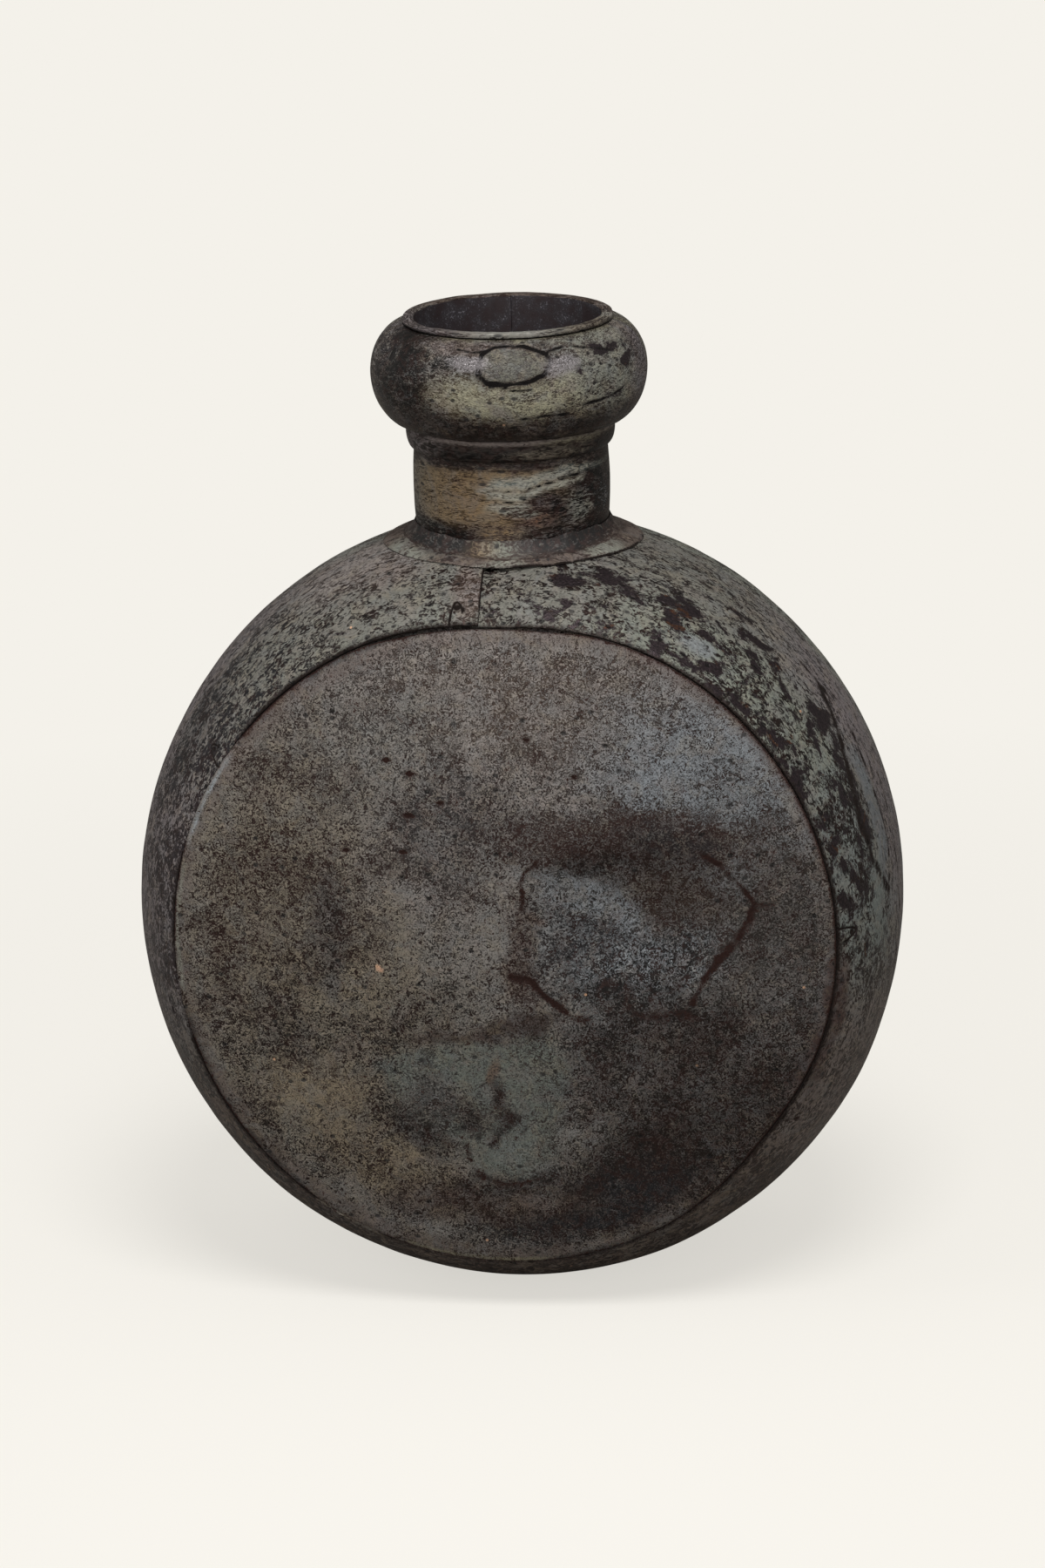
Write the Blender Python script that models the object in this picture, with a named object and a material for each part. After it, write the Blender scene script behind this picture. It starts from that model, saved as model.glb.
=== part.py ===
# Flat round iron flask, made the way such flasks are made: a barrel band, two dished discs, a
# rolled neck on a saddle plate, and a hollow collar that sits on a ring. Metres, +Z up, front
# towards -Y.
import math

import bmesh
import bpy
from mathutils import Vector

# Driving sizes in metres

gap = 0.0003                  # clearance between pieces that touch
sheet = 0.0012                # hammered sheet iron

hoop_radius = 0.150           # crown of the barrel band
hoop_width = 0.1374           # from seam to seam
seam_radius = 0.1285          # where the band's edges lie on the discs
foot_sink = 0.0018            # how far the crown is flattened where the flask stands
lap_length = 0.012            # overlap of the band's two ends
joggle_length = 0.022         # run over which the lower end sinks to pass under the upper one
joggle_land = 0.006           # flat stretch of the lower end beside the joint
joint_offset = 0.0065         # lap joint, left of the middle

stake_length = 0.0115         # struck tongues that hold the discs, from the seam to their tips
stake_width = 0.0062
stake_inset = 0.0016          # sound edge between the seam and the feet of a tongue
stake_groove = 0.0008
stake_pit = 0.0034            # deeper struck heel inside the tip
stake_depth = 0.0006

flange_length = 0.008         # bent rim of a disc, inside the band
bend_radius = 0.006           # bend between that rim and the dome
dome_height = 0.016
dent_width = 0.100
dent_height = 0.072
dent_depth = 0.0065

braze_reach = 0.0035          # how far the filler runs over the dome
braze_edge = 0.0003           # thickness of its thin edge

saddle_width = 0.1026         # along the band
saddle_length = 0.0926        # across the band
neck_radius = 0.0374          # outside of the neck tube at its ends
neck_swell = 0.0006           # extra radius half way up the neck
neck_tuck = 0.004             # length of tube below the band
neck_clear = 0.0302           # from the band's crown to the ring
neck_lap = 0.009              # width of the brazed lap inside the rolled tube
neck_braze_height = 0.0036
neck_braze_reach = 0.0050

ring_height = 0.0086
ring_thickness = 0.0027
collar_height = 0.0390
collar_mouth = 0.0021         # from the tube to where the collar's curve starts
collar_bulge = 0.0139
lip_height = 0.0024
lip_overhang = 0.0031
lip_round = 0.0006

cut_overrun = 0.020           # how far every cutter runs past what it cuts

# Proportions

barrel_power = 2.4
rise_share = 0.0106           # the upper half of the hoop is a little taller than round
drop_share = 0.0150
seam_flat_shares = ((0.245, 0.026, 0.050), (0.895, 0.022, 0.045))   # turn, depth, spread
stake_turn_shares = (0.0047, 0.1306, 0.2683, 0.4056, 0.536, 0.661, 0.786, 0.911)
stake_shoulder_share = 0.62   # where a tongue starts to narrow
dent_centre_shares = (0.38, 0.12)                                   # of the seam radius
neck_braze_hollow_share = 0.35
dome_settle_power = 6
ring_toe_share = 0.15         # of the ring's thickness, at its lower edge
ring_land_share = 0.25        # of the ring's height, left straight at the top
lap_flat_share = 0.6          # of the neck's lap, before it thins out
collar_equator_share = 0.52
neck_lap_turn_share = 0.262

# Counts

hoop_steps = 64
lap_steps = 8
band_rows = 12
disc_steps = 48
disc_rings = 8
bend_steps = 2
round_steps = 38
bulge_steps = 10
barrel_rows = 4

tau = math.tau
half_width = hoop_width / 2
layer = sheet + gap
hoop_centre = hoop_radius * (1 + drop_share) - foot_sink
crown_height = hoop_centre + hoop_radius * (1 + rise_share)

# Heights up the neck, each from the piece below it
ring_bottom = crown_height + neck_clear
ring_top = ring_bottom + ring_height
collar_bottom = ring_top + gap
collar_top = collar_bottom + collar_height
lip_bottom = collar_top + gap
lip_top = lip_bottom + lip_height


# Small helpers

def linear_colour(code):
    """Hex screen colour to the linear colour that a shader takes."""
    channels = []
    for start in (0, 2, 4):
        value = int(code[start:start + 2], 16) / 255
        channels.append(value / 12.92 if value <= 0.04045 else ((value + 0.055) / 1.055) ** 2.4)
    return (*channels, 1.0)


def plain_material(name, code, roughness, metallic):
    material = bpy.data.materials.new(name)
    material.use_nodes = True
    shader = material.node_tree.nodes["Principled BSDF"]
    shader.inputs["Base Color"].default_value = linear_colour(code)
    shader.inputs["Roughness"].default_value = roughness
    shader.inputs["Metallic"].default_value = metallic
    material.diffuse_color = linear_colour(code)
    return material


def spread(first, last, steps):
    return [first + (last - first) * step / steps for step in range(steps + 1)]


def ease(share):
    share = min(max(share, 0), 1)
    return share * share * (3 - 2 * share)


def swept_body(name, loops, material, closed=True, poled=False):
    """Joins section loops into one closed body. A poled section starts and ends on the axis."""
    mesh = bmesh.new()
    rows = []
    for loop in loops:
        if poled and rows:
            middle = [mesh.verts.new(point) for point in loop[1:-1]]
            rows.append([rows[0][0], *middle, rows[0][-1]])
        else:
            rows.append([mesh.verts.new(point) for point in loop])
    pairs = list(zip(rows, rows[1:]))
    if closed:
        pairs.append((rows[-1], rows[0]))
    count = len(rows[0])
    for first, second in pairs:
        for index in range(count - 1 if poled else count):
            after = (index + 1) % count
            corners = [first[index], second[index], second[after], first[after]]
            face = list(dict.fromkeys(corners))
            mesh.faces.new(face)
    if not closed:
        mesh.faces.new(rows[0])
        mesh.faces.new(rows[-1][::-1])
    if mesh.calc_volume(signed=True) < 0:
        bmesh.ops.reverse_faces(mesh, faces=mesh.faces)
    data = bpy.data.meshes.new(name)
    mesh.to_mesh(data)
    mesh.free()
    data.materials.append(material)
    data.shade_smooth()
    data.set_sharp_from_angle(angle=math.radians(40))
    body = bpy.data.objects.new(name, data)
    bpy.context.collection.objects.link(body)
    return body


def around_neck(turn, radius, height):
    return Vector((radius * math.cos(turn), radius * math.sin(turn), height))


# Shape of the hoop

def seam_radius_at(angle):
    """The hand-cut seam is a circle with two flatter stretches."""
    radius = seam_radius
    for turn_share, depth_share, spread_share in seam_flat_shares:
        away = (angle / tau - turn_share + 0.5) % 1 - 0.5
        radius -= seam_radius * depth_share * math.exp(-(away / spread_share) ** 2)
    return radius


def hoop_place(angle, radius, out):
    """A point at a radius and a distance out from the middle plane."""
    height = radius * math.sin(angle)
    stretch = 1 + (rise_share if height > 0 else drop_share)
    return Vector((radius * math.cos(angle), out, hoop_centre + height * stretch))


def barrel_profile(angle, across, depth):
    """Radius and distance out at a share of the half width, sunk by a depth square to the skin."""
    fall = hoop_radius - seam_radius_at(angle)
    radius = hoop_radius - fall * abs(across) ** barrel_power
    tilt = math.atan(fall * barrel_power * abs(across) ** (barrel_power - 1) / half_width)
    side = math.copysign(1, across)
    return radius - depth * math.cos(tilt), across * half_width - side * depth * math.sin(tilt)


def seam_tilt(angle):
    return math.atan((hoop_radius - seam_radius_at(angle)) * barrel_power / half_width)


def skin_height(x, y):
    """Height of the band's outer skin over a point near the neck."""
    angle = tau / 4
    for _ in range(3):
        radius = barrel_profile(angle, y / half_width, 0)[0]
        angle = math.acos(x / radius)
    return hoop_place(angle, radius, y).z


joint_angle = tau / 4 + math.asin(joint_offset / hoop_radius)
lap_angle = lap_length / hoop_radius
joggle_angle = joggle_length / hoop_radius
land_angle = joggle_land / hoop_radius
sink_start = tau - land_angle - joggle_angle


# Pieces of the body

def band_loop(walked):
    """One section of the strip, walked round from its upper end to its sunk end."""
    sunk = layer * ease((walked - sink_start) / joggle_angle)
    outer = []
    inner = []
    for turn in spread(-tau / 4, tau / 4, band_rows):
        across = math.sin(turn)
        radius = barrel_profile(joint_angle, across, 0)[0]
        angle = tau / 4 + math.asin(joint_offset / radius) + walked
        for depth, row in ((sunk, outer), (sunk + sheet, inner)):
            point = hoop_place(angle, *barrel_profile(angle, across, depth))
            point.z = max(point.z, depth)
            row.append(point)
    return outer + inner[::-1]


def body_band(material):
    walks = spread(0, sink_start, hoop_steps) + spread(sink_start, tau + lap_angle, lap_steps)[1:]
    return swept_body("body_band", [band_loop(walked) for walked in walks], material, closed=False)


def lap_room(angle):
    """Extra depth that a disc's rim takes where the band is two layers thick."""
    away = ((angle - joint_angle + tau / 2) % tau) - tau / 2
    before = ease((away + land_angle + 2 * joggle_angle) / joggle_angle)
    after = ease((lap_angle + 2 * joggle_angle - away) / joggle_angle)
    return layer * min(before, after)


def dent_at(x, height):
    """Depth of the blow that the front disc took."""
    from_x = x - dent_centre_shares[0] * seam_radius
    from_z = height - hoop_centre - dent_centre_shares[1] * seam_radius
    reach = (2 * from_x / dent_width) ** 2 + (2 * from_z / dent_height) ** 2
    return dent_depth * (1 - reach) ** 2 if reach < 1 else 0


def bend_place(angle, depth):
    """Centre of the bend between rim and dome, and the two directions that it turns between."""
    tilt = seam_tilt(angle)
    last = tau / 4 - math.atan(2 * dome_height / seam_radius)
    radius = seam_radius_at(angle) - (depth + bend_radius) * math.cos(tilt)
    out = half_width - (depth + bend_radius) * math.sin(tilt)
    return radius, out, tilt, last


def disc_skin(angle, side, depth, rings, dented):
    """One skin of a disc, from the middle to the end of its rim, as points in space."""
    rim_depth = layer + lap_room(angle)
    centre_radius, centre_out, tilt, last = bend_place(angle, rim_depth)
    bend = bend_radius - depth
    edge_radius = centre_radius + bend * math.cos(last)
    edge_out = centre_out + bend * math.sin(last)
    dome_out = half_width - (layer + bend_radius) * math.sin(tilt) + bend * math.sin(last)
    flat = []
    for share in spread(0, 1, rings):
        out = dome_out + (edge_out - dome_out) * share ** dome_settle_power
        flat.append((edge_radius * share, out + dome_height * (1 - share * share)))
    for turn in spread(last, tilt, bend_steps)[1:]:
        flat.append((centre_radius + bend * math.cos(turn), centre_out + bend * math.sin(turn)))
    for share in (0.5, 1):
        across = 1 - share * flange_length * math.cos(tilt) / half_width
        flat.append(barrel_profile(angle, across, rim_depth + depth))
    points = []
    for radius, out in flat:
        point = hoop_place(angle, radius, 0)
        if dented:
            out -= dent_at(point.x, point.z)
        point.y = side * out
        points.append(point)
    return points


def dished_disc(name, side, material, dented=False):
    loops = []
    for angle in spread(0, tau, disc_steps)[:-1]:
        outer = disc_skin(angle, side, 0, disc_rings, dented)
        inner = disc_skin(angle, side, sheet, disc_rings if dented else disc_rings // 2, dented)
        loops.append(outer + inner[::-1])
    return swept_body(name, loops, material, poled=True)


def seam_braze(name, side, material):
    """Filler in the corner between the band's edge and the disc."""
    loops = []
    for angle in spread(0, tau, disc_steps)[:-1]:
        centre_radius, centre_out, tilt, last = bend_place(angle, layer + lap_room(angle))
        centre = Vector((centre_radius, centre_out))
        bed = []
        for turn in spread(last, tilt + 2 * gap / bend_radius, bend_steps):
            away = Vector((math.cos(turn), math.sin(turn)))
            bed.append((centre + away * (bend_radius + gap), away))
        along = Vector((-math.sin(last), math.cos(last)))
        bed.insert(0, (bed[0][0] + along * braze_reach, bed[0][1]))
        top = []
        for share, (point, away) in zip(spread(0, 1, len(bed) - 1), bed):
            top.append(point + away * (braze_edge + (sheet - gap - braze_edge) * share ** 2))
        flat = [point for point, away in bed] + top[::-1]
        loops.append([hoop_place(angle, radius, side * out) for radius, out in flat])
    return swept_body(name, loops, material)


# Pieces of the neck

def neck_skin(height):
    """Outer radius of the neck tube, swollen between the body and the ring."""
    share = (height - crown_height) / neck_clear
    if share < 0 or share > 1:
        return neck_radius
    return neck_radius + neck_swell * (1 - (2 * share - 1) ** 2)


def lap_step(turn):
    """Share of a sheet by which the brazed lap stands proud inside the tube."""
    along = (turn / tau - neck_lap_turn_share) % 1 * tau * neck_radius / neck_lap
    return 1 - ease((along - lap_flat_share) / (1 - lap_flat_share)) if along < 1 else 0


def neck_loop(turn):
    """One section of the rolled tube, up its outside, over the hemmed lip and down the bore."""
    bottom = skin_height(neck_radius, 0) - layer - neck_tuck
    heights = [bottom, *spread(crown_height - neck_tuck, ring_bottom, barrel_rows), lip_bottom]
    outer = [(neck_skin(height), height) for height in heights]
    face = neck_radius + lip_overhang
    bore = neck_radius - sheet
    outer.append((face - lip_round, lip_bottom))
    outer.append((face, lip_bottom + lip_round))
    outer.append((face, lip_top - lip_round))
    outer.append((face - lip_round, lip_top))
    outer.append((bore + lip_round, lip_top))
    step = sheet * lap_step(turn)
    outer.append((bore - step * lap_flat_share, lip_top - lip_round))
    inner = [(neck_skin(height) - sheet - step, height) for height in (heights[-1], heights[3], bottom)]
    return [around_neck(turn, radius, height) for radius, height in outer + inner]


def neck_tube(material):
    edge = tau * neck_lap_turn_share
    turns = [edge + turn for turn in spread(0, tau, round_steps)[:-1]]
    turns.insert(1, edge + neck_lap * lap_flat_share / neck_radius)
    turns.insert(2, edge + neck_lap / neck_radius)
    turns.append(edge + tau - gap / neck_radius)
    return swept_body("neck_tube", [neck_loop(turn) for turn in sorted(turns)], material)


def neck_saddle(material):
    """Oval plate round the foot of the neck, dished to lie on the band."""
    loops = []
    for turn in spread(0, tau, round_steps)[:-1]:
        edge = 0.5 / math.hypot(math.cos(turn) / saddle_width, math.sin(turn) / saddle_length)
        lower = []
        for radius in spread(neck_radius + neck_swell + gap, edge, 2):
            x = radius * math.cos(turn)
            y = radius * math.sin(turn)
            lower.append(Vector((x, y, skin_height(x, y) + gap)))
        upper = [point + Vector((0, 0, sheet)) for point in reversed(lower)]
        loops.append(lower + upper)
    return swept_body("neck_saddle", loops, material)


def neck_braze(material):
    """Filler between the neck and its saddle."""
    loops = []
    for turn in spread(0, tau, round_steps)[:-1]:
        wall = neck_radius + neck_swell + gap
        reach = wall + neck_braze_reach
        beds = []
        for radius in (wall, (wall + reach) / 2, reach):
            x = radius * math.cos(turn)
            y = radius * math.sin(turn)
            beds.append((radius, skin_height(x, y) + gap + sheet + gap))
        rise = neck_braze_height
        loop = [*beds, (reach, beds[2][1] + braze_edge)]
        loop.append((beds[1][0], beds[1][1] + rise * neck_braze_hollow_share))
        loop.append((wall, beds[0][1] + rise))
        loops.append([around_neck(turn, radius, height) for radius, height in loop])
    return swept_body("neck_braze", loops, material)


def seat_ring(material):
    """Ring that carries the collar: flat on top, rounded off below."""
    bore = neck_radius + gap
    flat = [(bore, ring_top), (bore, ring_bottom)]
    for turn in spread(0, tau / 4, 3):
        reach = ring_toe_share + (1 - ring_toe_share) * math.sin(turn)
        drop = ring_land_share + (1 - ring_land_share) * math.cos(turn)
        flat.append((bore + ring_thickness * reach, ring_top - ring_height * drop))
    flat.append((bore + ring_thickness, ring_top))
    loops = []
    for turn in spread(0, tau, round_steps)[:-1]:
        loops.append([around_neck(turn, radius, height) for radius, height in flat])
    return swept_body("seat_ring", loops, material)


def collar_shell(material):
    """Hollow bulb round the mouth, open towards the tube."""
    equator = collar_bottom + collar_height * collar_equator_share
    start = neck_radius + collar_mouth
    bore = neck_radius + gap
    outer = [(bore, collar_bottom)]
    inner = [(bore, collar_bottom + sheet)]
    for thickness, row, steps in ((0, outer, bulge_steps), (sheet, inner, bulge_steps // 2)):
        for turn in spread(0, tau / 2, steps):
            rise = (collar_top if turn > tau / 4 else collar_bottom) - equator
            rise -= math.copysign(thickness, rise)
            radius = start + (collar_bulge - thickness) * math.sin(turn)
            row.append((radius, equator + abs(math.cos(turn)) * rise))
    outer.append((bore, collar_top))
    inner.append((bore, collar_top - sheet))
    loops = []
    for turn in spread(0, tau, round_steps)[:-1]:
        loops.append([around_neck(turn, radius, height) for radius, height in outer + inner[::-1]])
    return swept_body("collar_shell", loops, material)


def cut_away(body, cutter, name):
    """Takes a cutter's shape out of a body and hides the cutter."""
    cutter.name = name + "_cutter"
    cutter.hide_render = True
    cutter.display_type = "WIRE"
    cut = body.modifiers.new(name, "BOOLEAN")
    cut.operation = "DIFFERENCE"
    cut.solver = "EXACT"
    cut.object = cutter


def cut_neck_hole(band):
    """Round hole through the band for the neck tube."""
    depth = crown_height - skin_height(neck_radius, 0) + 2 * layer + cut_overrun
    bpy.ops.mesh.primitive_cylinder_add(
        vertices=round_steps, radius=neck_radius + neck_swell + gap, depth=2 * depth,
        location=(0, 0, crown_height))
    cut_away(band, bpy.context.object, "neck_hole")


def stake_outline():
    """Arch of a struck tongue, as places along the seam and up from it, round its groove."""
    half = stake_width / 2
    shoulder = stake_length * stake_shoulder_share
    tip = half - stake_groove
    outside = [(-half, stake_inset), (-half, shoulder), (-tip / 2, stake_length),
               (tip / 2, stake_length), (half, shoulder), (half, stake_inset)]
    inside = [(tip, stake_inset), (tip, shoulder), (0, stake_length - stake_pit),
              (-tip, shoulder), (-tip, stake_inset)]
    return outside + inside


def strike_stakes(band):
    """Shallow arched grooves where the tongues were struck, along both edges of the band."""
    mesh = bmesh.new()
    for side in (-1, 1):
        for turn_share in stake_turn_shares:
            middle = tau * turn_share
            rows = []
            for depth in (-cut_overrun, stake_depth):
                row = []
                for along, up in stake_outline():
                    angle = middle + along / seam_radius_at(middle)
                    across = side * (1 - up * math.cos(seam_tilt(angle)) / half_width)
                    point = hoop_place(angle, *barrel_profile(angle, across, depth))
                    row.append(mesh.verts.new(point))
                rows.append(row)
            mesh.faces.new(rows[0])
            mesh.faces.new(rows[1][::-1])
            for index, (first, second) in enumerate(zip(*rows)):
                mesh.faces.new([rows[0][index - 1], rows[1][index - 1], second, first])
    bmesh.ops.recalc_face_normals(mesh, faces=mesh.faces)
    data = bpy.data.meshes.new("stakes_cutter")
    mesh.to_mesh(data)
    mesh.free()
    cutter = bpy.data.objects.new("stakes_cutter", data)
    bpy.context.collection.objects.link(cutter)
    cut_away(band, cutter, "stakes")


def build():
    for item in list(bpy.data.objects):
        bpy.data.objects.remove(item, do_unlink=True)
    paint = "5A5850"
    bare = "3E3632"
    band = body_band(plain_material("weathered_band_iron", "565550", 0.62, 0.35))
    cut_neck_hole(band)
    strike_stakes(band)
    dished_disc("front_disc", -1, plain_material("weathered_front_iron", "504C47", 0.6, 0.35), True)
    dished_disc("back_disc", 1, plain_material("weathered_back_iron", "4C4843", 0.6, 0.35))
    seam_braze("front_seam_braze", -1, plain_material("front_braze", "534741", 0.5, 0.5))
    seam_braze("back_seam_braze", 1, plain_material("back_braze", "4E423C", 0.5, 0.5))
    neck_saddle(plain_material("saddle_iron", "5D514B", 0.6, 0.35))
    neck_tube(plain_material("neck_iron", "57503F", 0.6, 0.35))
    neck_braze(plain_material("neck_filler", "4F433D", 0.5, 0.5))
    seat_ring(plain_material("ring_iron", bare, 0.5, 0.4))
    collar_shell(plain_material("collar_iron", paint, 0.5, 0.4))


build()
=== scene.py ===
import math

import bmesh
import bpy
import numpy as np
from mathutils import Matrix, Vector, noise


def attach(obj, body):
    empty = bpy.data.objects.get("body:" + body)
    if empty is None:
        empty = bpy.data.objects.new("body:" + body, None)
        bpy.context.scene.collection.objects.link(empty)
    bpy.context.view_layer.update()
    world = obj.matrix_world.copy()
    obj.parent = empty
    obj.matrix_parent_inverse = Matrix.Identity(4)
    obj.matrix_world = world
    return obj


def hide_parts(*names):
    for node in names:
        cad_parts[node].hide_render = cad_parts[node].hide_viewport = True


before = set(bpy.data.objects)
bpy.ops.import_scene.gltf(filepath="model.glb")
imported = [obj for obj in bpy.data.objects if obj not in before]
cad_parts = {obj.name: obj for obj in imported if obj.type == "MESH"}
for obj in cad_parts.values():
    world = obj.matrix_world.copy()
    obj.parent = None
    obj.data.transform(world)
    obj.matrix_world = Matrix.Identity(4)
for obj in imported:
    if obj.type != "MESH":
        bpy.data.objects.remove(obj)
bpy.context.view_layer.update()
print("frame loaded:", len(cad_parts), "solids")

turn = math.tau
mm = 0.001

paints = {                       # what is left of the paint, as it looks on the screen, and the frost colour, a painted bluish glint
    "greyPaint": "#726E69", "pinkGrey": "#79726D", "greenGrey": "#6F7268", "blueGrey": "#75797D",
    "blueGreen": "#656A66", "tanPaint": "#6F675A", "sand": "#776B58", "ochre": "#715C40",
    "olive": "#76715C", "plumGrey": "#6D6565", "dimGrey": "#575350", "coal": "#403E3C",
    "flakeGreen": "#74746A", "cream": "#8E8C80", "bandGrey": "#69675F", "saddleBrown": "#5A4E46",
    "flakeGrey": "#5B594F", "paleOlive": "#88846F", "lipGrey": "#85837B", "frost": "#868B8F",
    "slate": "#626567", "patchGreen": "#5D615A", "pinkBrown": "#6E635E", "rubbedOchre": "#54442F",
    "footBrown": "#493E37",
}
irons = {                        # the iron between the paint
    "darkOxide": "#251E1B", "greyOxide": "#35302D", "blueOxide": "#2A292B", "redOxide": "#33221E",
    "brownOxide": "#362A24", "smoothBrown": "#54473F", "plumIron": "#373033", "soot": "#171413",
    "paleOxide": "#413A37", "tornIron": "#2B2325", "rust": "#5A3A24", "oldRust": "#452D20",
    "maroon": "#3B2722", "chip": "#C29A7C",
}


def linearColour(name):
    # of a named colour or a code: linear red, green and blue, and alpha
    code = paints.get(name) or irons.get(name) or name
    channels = [int(code[k:k + 2], 16) / 255 for k in (1, 3, 5)]
    linear = [c / 12.92 if c <= 0.04045 else ((c + 0.055) / 1.055) ** 2.4 for c in channels]
    return np.array(linear + [1.0])


def roundAngles(count):
    return np.linspace(0, turn, count, endpoint=False)


def apart(angle, at):
    # signed way round from one angle to the other, half a turn at most
    return (angle - at + turn / 2) % turn - turn / 2


def stacked(*parts):
    return np.stack(np.broadcast_arrays(*parts), -1)


def linked(name, data):
    made = bpy.data.objects.new(name, data)
    bpy.context.collection.objects.link(made)
    return made


def ease(share):
    share = np.clip(share, 0, 1)
    return share * share * (3 - 2 * share)


def ripple(points, size, octaves=3, seed=0):
    # smooth random swell, about -1 to 1; size is in the unit of the points
    shift = Vector((seed * 7.31, seed * 1.77, seed * 3.13))
    flat = points.reshape(-1, points.shape[-1]) / size
    if flat.shape[1] == 2:
        flat = np.hstack([flat, np.zeros((len(flat), 1))])
    swell = [noise.fractal(Vector(p) + shift, 1.0, 2.0, octaves) for p in flat]
    return np.array(swell).reshape(points.shape[:-1])


def pathDistance(points, path):
    # distance of 2D points to an open line through the points of a path
    best = np.full(points.shape[:-1], 1e9)
    for a, b in zip(path, path[1:]):
        a, b = np.array(a, float), np.array(b, float)
        share = np.clip(((points - a) @ (b - a)) / ((b - a) @ (b - a)), 0, 1)
        best = np.minimum(best, np.linalg.norm(points - a - share[..., None] * (b - a), axis=-1))
    return best


def outlineDistance(points, outline):
    # negative inside a closed outline
    inside = np.zeros(points.shape[:-1], bool)
    x, y = points[..., 0], points[..., 1]
    closed = list(outline) + [outline[0]]
    for (ax, ay), (bx, by) in zip(closed, closed[1:]):
        crosses = (ay > y) != (by > y)
        inside ^= crosses & (x < (bx - ax) * (y - ay) / (by - ay + 1e-12) + ax)
    away = pathDistance(points, closed)
    return np.where(inside, -away, away)


# Parts of a paint plan; what a spot leaves out stays as it is below it

def spot(x, y, wide, high, pale=None, dark=None, cover=None, **more):
    # oval with half sizes in mm; tilt in degrees, share and soft from 0 to 1
    zone = {"at": (x, y), "size": (wide, high), "pale": pale, "dark": dark, "cover": cover, **more}
    return {key: value for key, value in zone.items() if value is not None}


def patch(outline, pale, dark, cover, soft):
    # closed outline; its soft edge is in mm
    return {"outline": outline, "pale": pale, "dark": dark, "cover": cover, "soft": soft}


def stroke(width, share, *path):
    # dark line through points, half width in mm
    return {"path": path, "width": width, "share": share}


# Paint plan of a piece: soft zones, then lines, all on its skin coordinates in mm

def paintPlan(skin, plan, seed):
    unit = np.array(plan.get("unit", (1, 1)))
    wobble = plan.get("wobble", 3.0)
    shift = [wobble * ripple(skin, 14, 4, seed + k) for k in (1, 2)]
    loose = skin + np.stack(shift, -1)
    fields = {
        "pale": np.tile(linearColour(plan["pale"]), skin.shape[:-1] + (1,)),
        "dark": np.tile(linearColour(plan["dark"]), skin.shape[:-1] + (1,)),
    }
    for key in ("cover", "bare", "wear"):
        fields[key] = np.full(skin.shape[:-1], plan.get(key, 0.0))
    for zone in plan.get("zones", ()):
        soft = zone.get("soft", 0.5)
        if "outline" in zone:
            away = outlineDistance(loose, [np.array(p) * unit for p in zone["outline"]])
            weight = 1 - ease(away / (2 * soft) + 0.5)          # soft is in mm here
        else:
            local = loose - np.array(zone["at"]) * unit
            tilt = math.radians(zone.get("tilt", 0))
            u = local[..., 0] * math.cos(tilt) + local[..., 1] * math.sin(tilt)
            v = local[..., 1] * math.cos(tilt) - local[..., 0] * math.sin(tilt)
            reach = np.hypot(u / zone["size"][0], v / zone["size"][1])
            weight = 1 - ease((reach - 1 + soft) / (2 * soft))
        weight = weight * zone.get("share", 1.0)
        for key in ("pale", "dark"):
            if key in zone:
                fields[key] += weight[..., None] * (linearColour(zone[key]) - fields[key])
        for key in ("cover", "bare", "wear"):
            if key in zone:
                fields[key] += weight * (zone[key] - fields[key])
    fields["line"] = np.zeros(skin.shape[:-1])
    closer = skin + 0.35 * (loose - skin)
    uneven = 1 + 0.7 * ripple(skin, 5, 3, seed + 3) if "lines" in plan else 1
    for line in plan.get("lines", ()):
        away = pathDistance(closer, [np.array(p) * unit for p in line["path"]])
        mark = line.get("share", 1.0) * uneven * np.exp(-(away / line["width"]) ** 2)
        fields["line"] = np.maximum(fields["line"], mark)
    return fields


# Meshes: section loops swept round or along, with the paint plan kept on their points

def sweptPiece(name, loops, skin, fields, material, closed=True, poled=False, sharp=50):
    sections, count = loops.shape[:2]
    grid = np.arange(sections * count).reshape(sections, count)
    rows = np.vstack([grid, grid[:1]]) if closed else grid
    rows = rows if poled else np.hstack([rows, rows[:, :1]])
    quads = np.stack([rows[:-1, :-1], rows[1:, :-1], rows[1:, 1:], rows[:-1, 1:]], -1)
    faces = quads.reshape(-1, 4).tolist()
    if not closed:
        faces += [grid[0].tolist(), grid[-1][::-1].tolist()]
    mesh = bpy.data.meshes.new(name)
    mesh.from_pydata(loops.reshape(-1, 3).tolist(), [], faces)
    wide = np.zeros((sections * count, 3), np.float32)
    wide[:, :2] = skin.reshape(-1, 2)
    mesh.attributes.new("skin", "FLOAT_VECTOR", "POINT").data.foreach_set("vector", wide.ravel())
    for key, values in fields.items():
        kind, entry = ("FLOAT_COLOR", "color") if values.ndim == 3 else ("FLOAT", "value")
        stored = mesh.attributes.new(key, kind, "POINT")
        stored.data.foreach_set(entry, values.astype(np.float32).ravel())
    work = bmesh.new()
    work.from_mesh(mesh)
    if poled:
        work.verts.ensure_lookup_table()
        poles = [work.verts[k] for row in grid for k in (row[0], row[-1])]
        bmesh.ops.remove_doubles(work, verts=poles, dist=1e-6)
    if work.calc_volume(signed=True) < 0:
        bmesh.ops.reverse_faces(work, faces=work.faces)
    work.to_mesh(mesh)
    work.free()
    mesh.materials.append(material)
    mesh.shade_smooth()
    mesh.set_sharp_from_angle(angle=math.radians(sharp))
    return linked(name, mesh)


def stands(piece, node):
    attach(piece, "root")
    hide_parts(node)
    print("built", piece.name, len(piece.data.polygons), "faces")


# Materials

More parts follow.
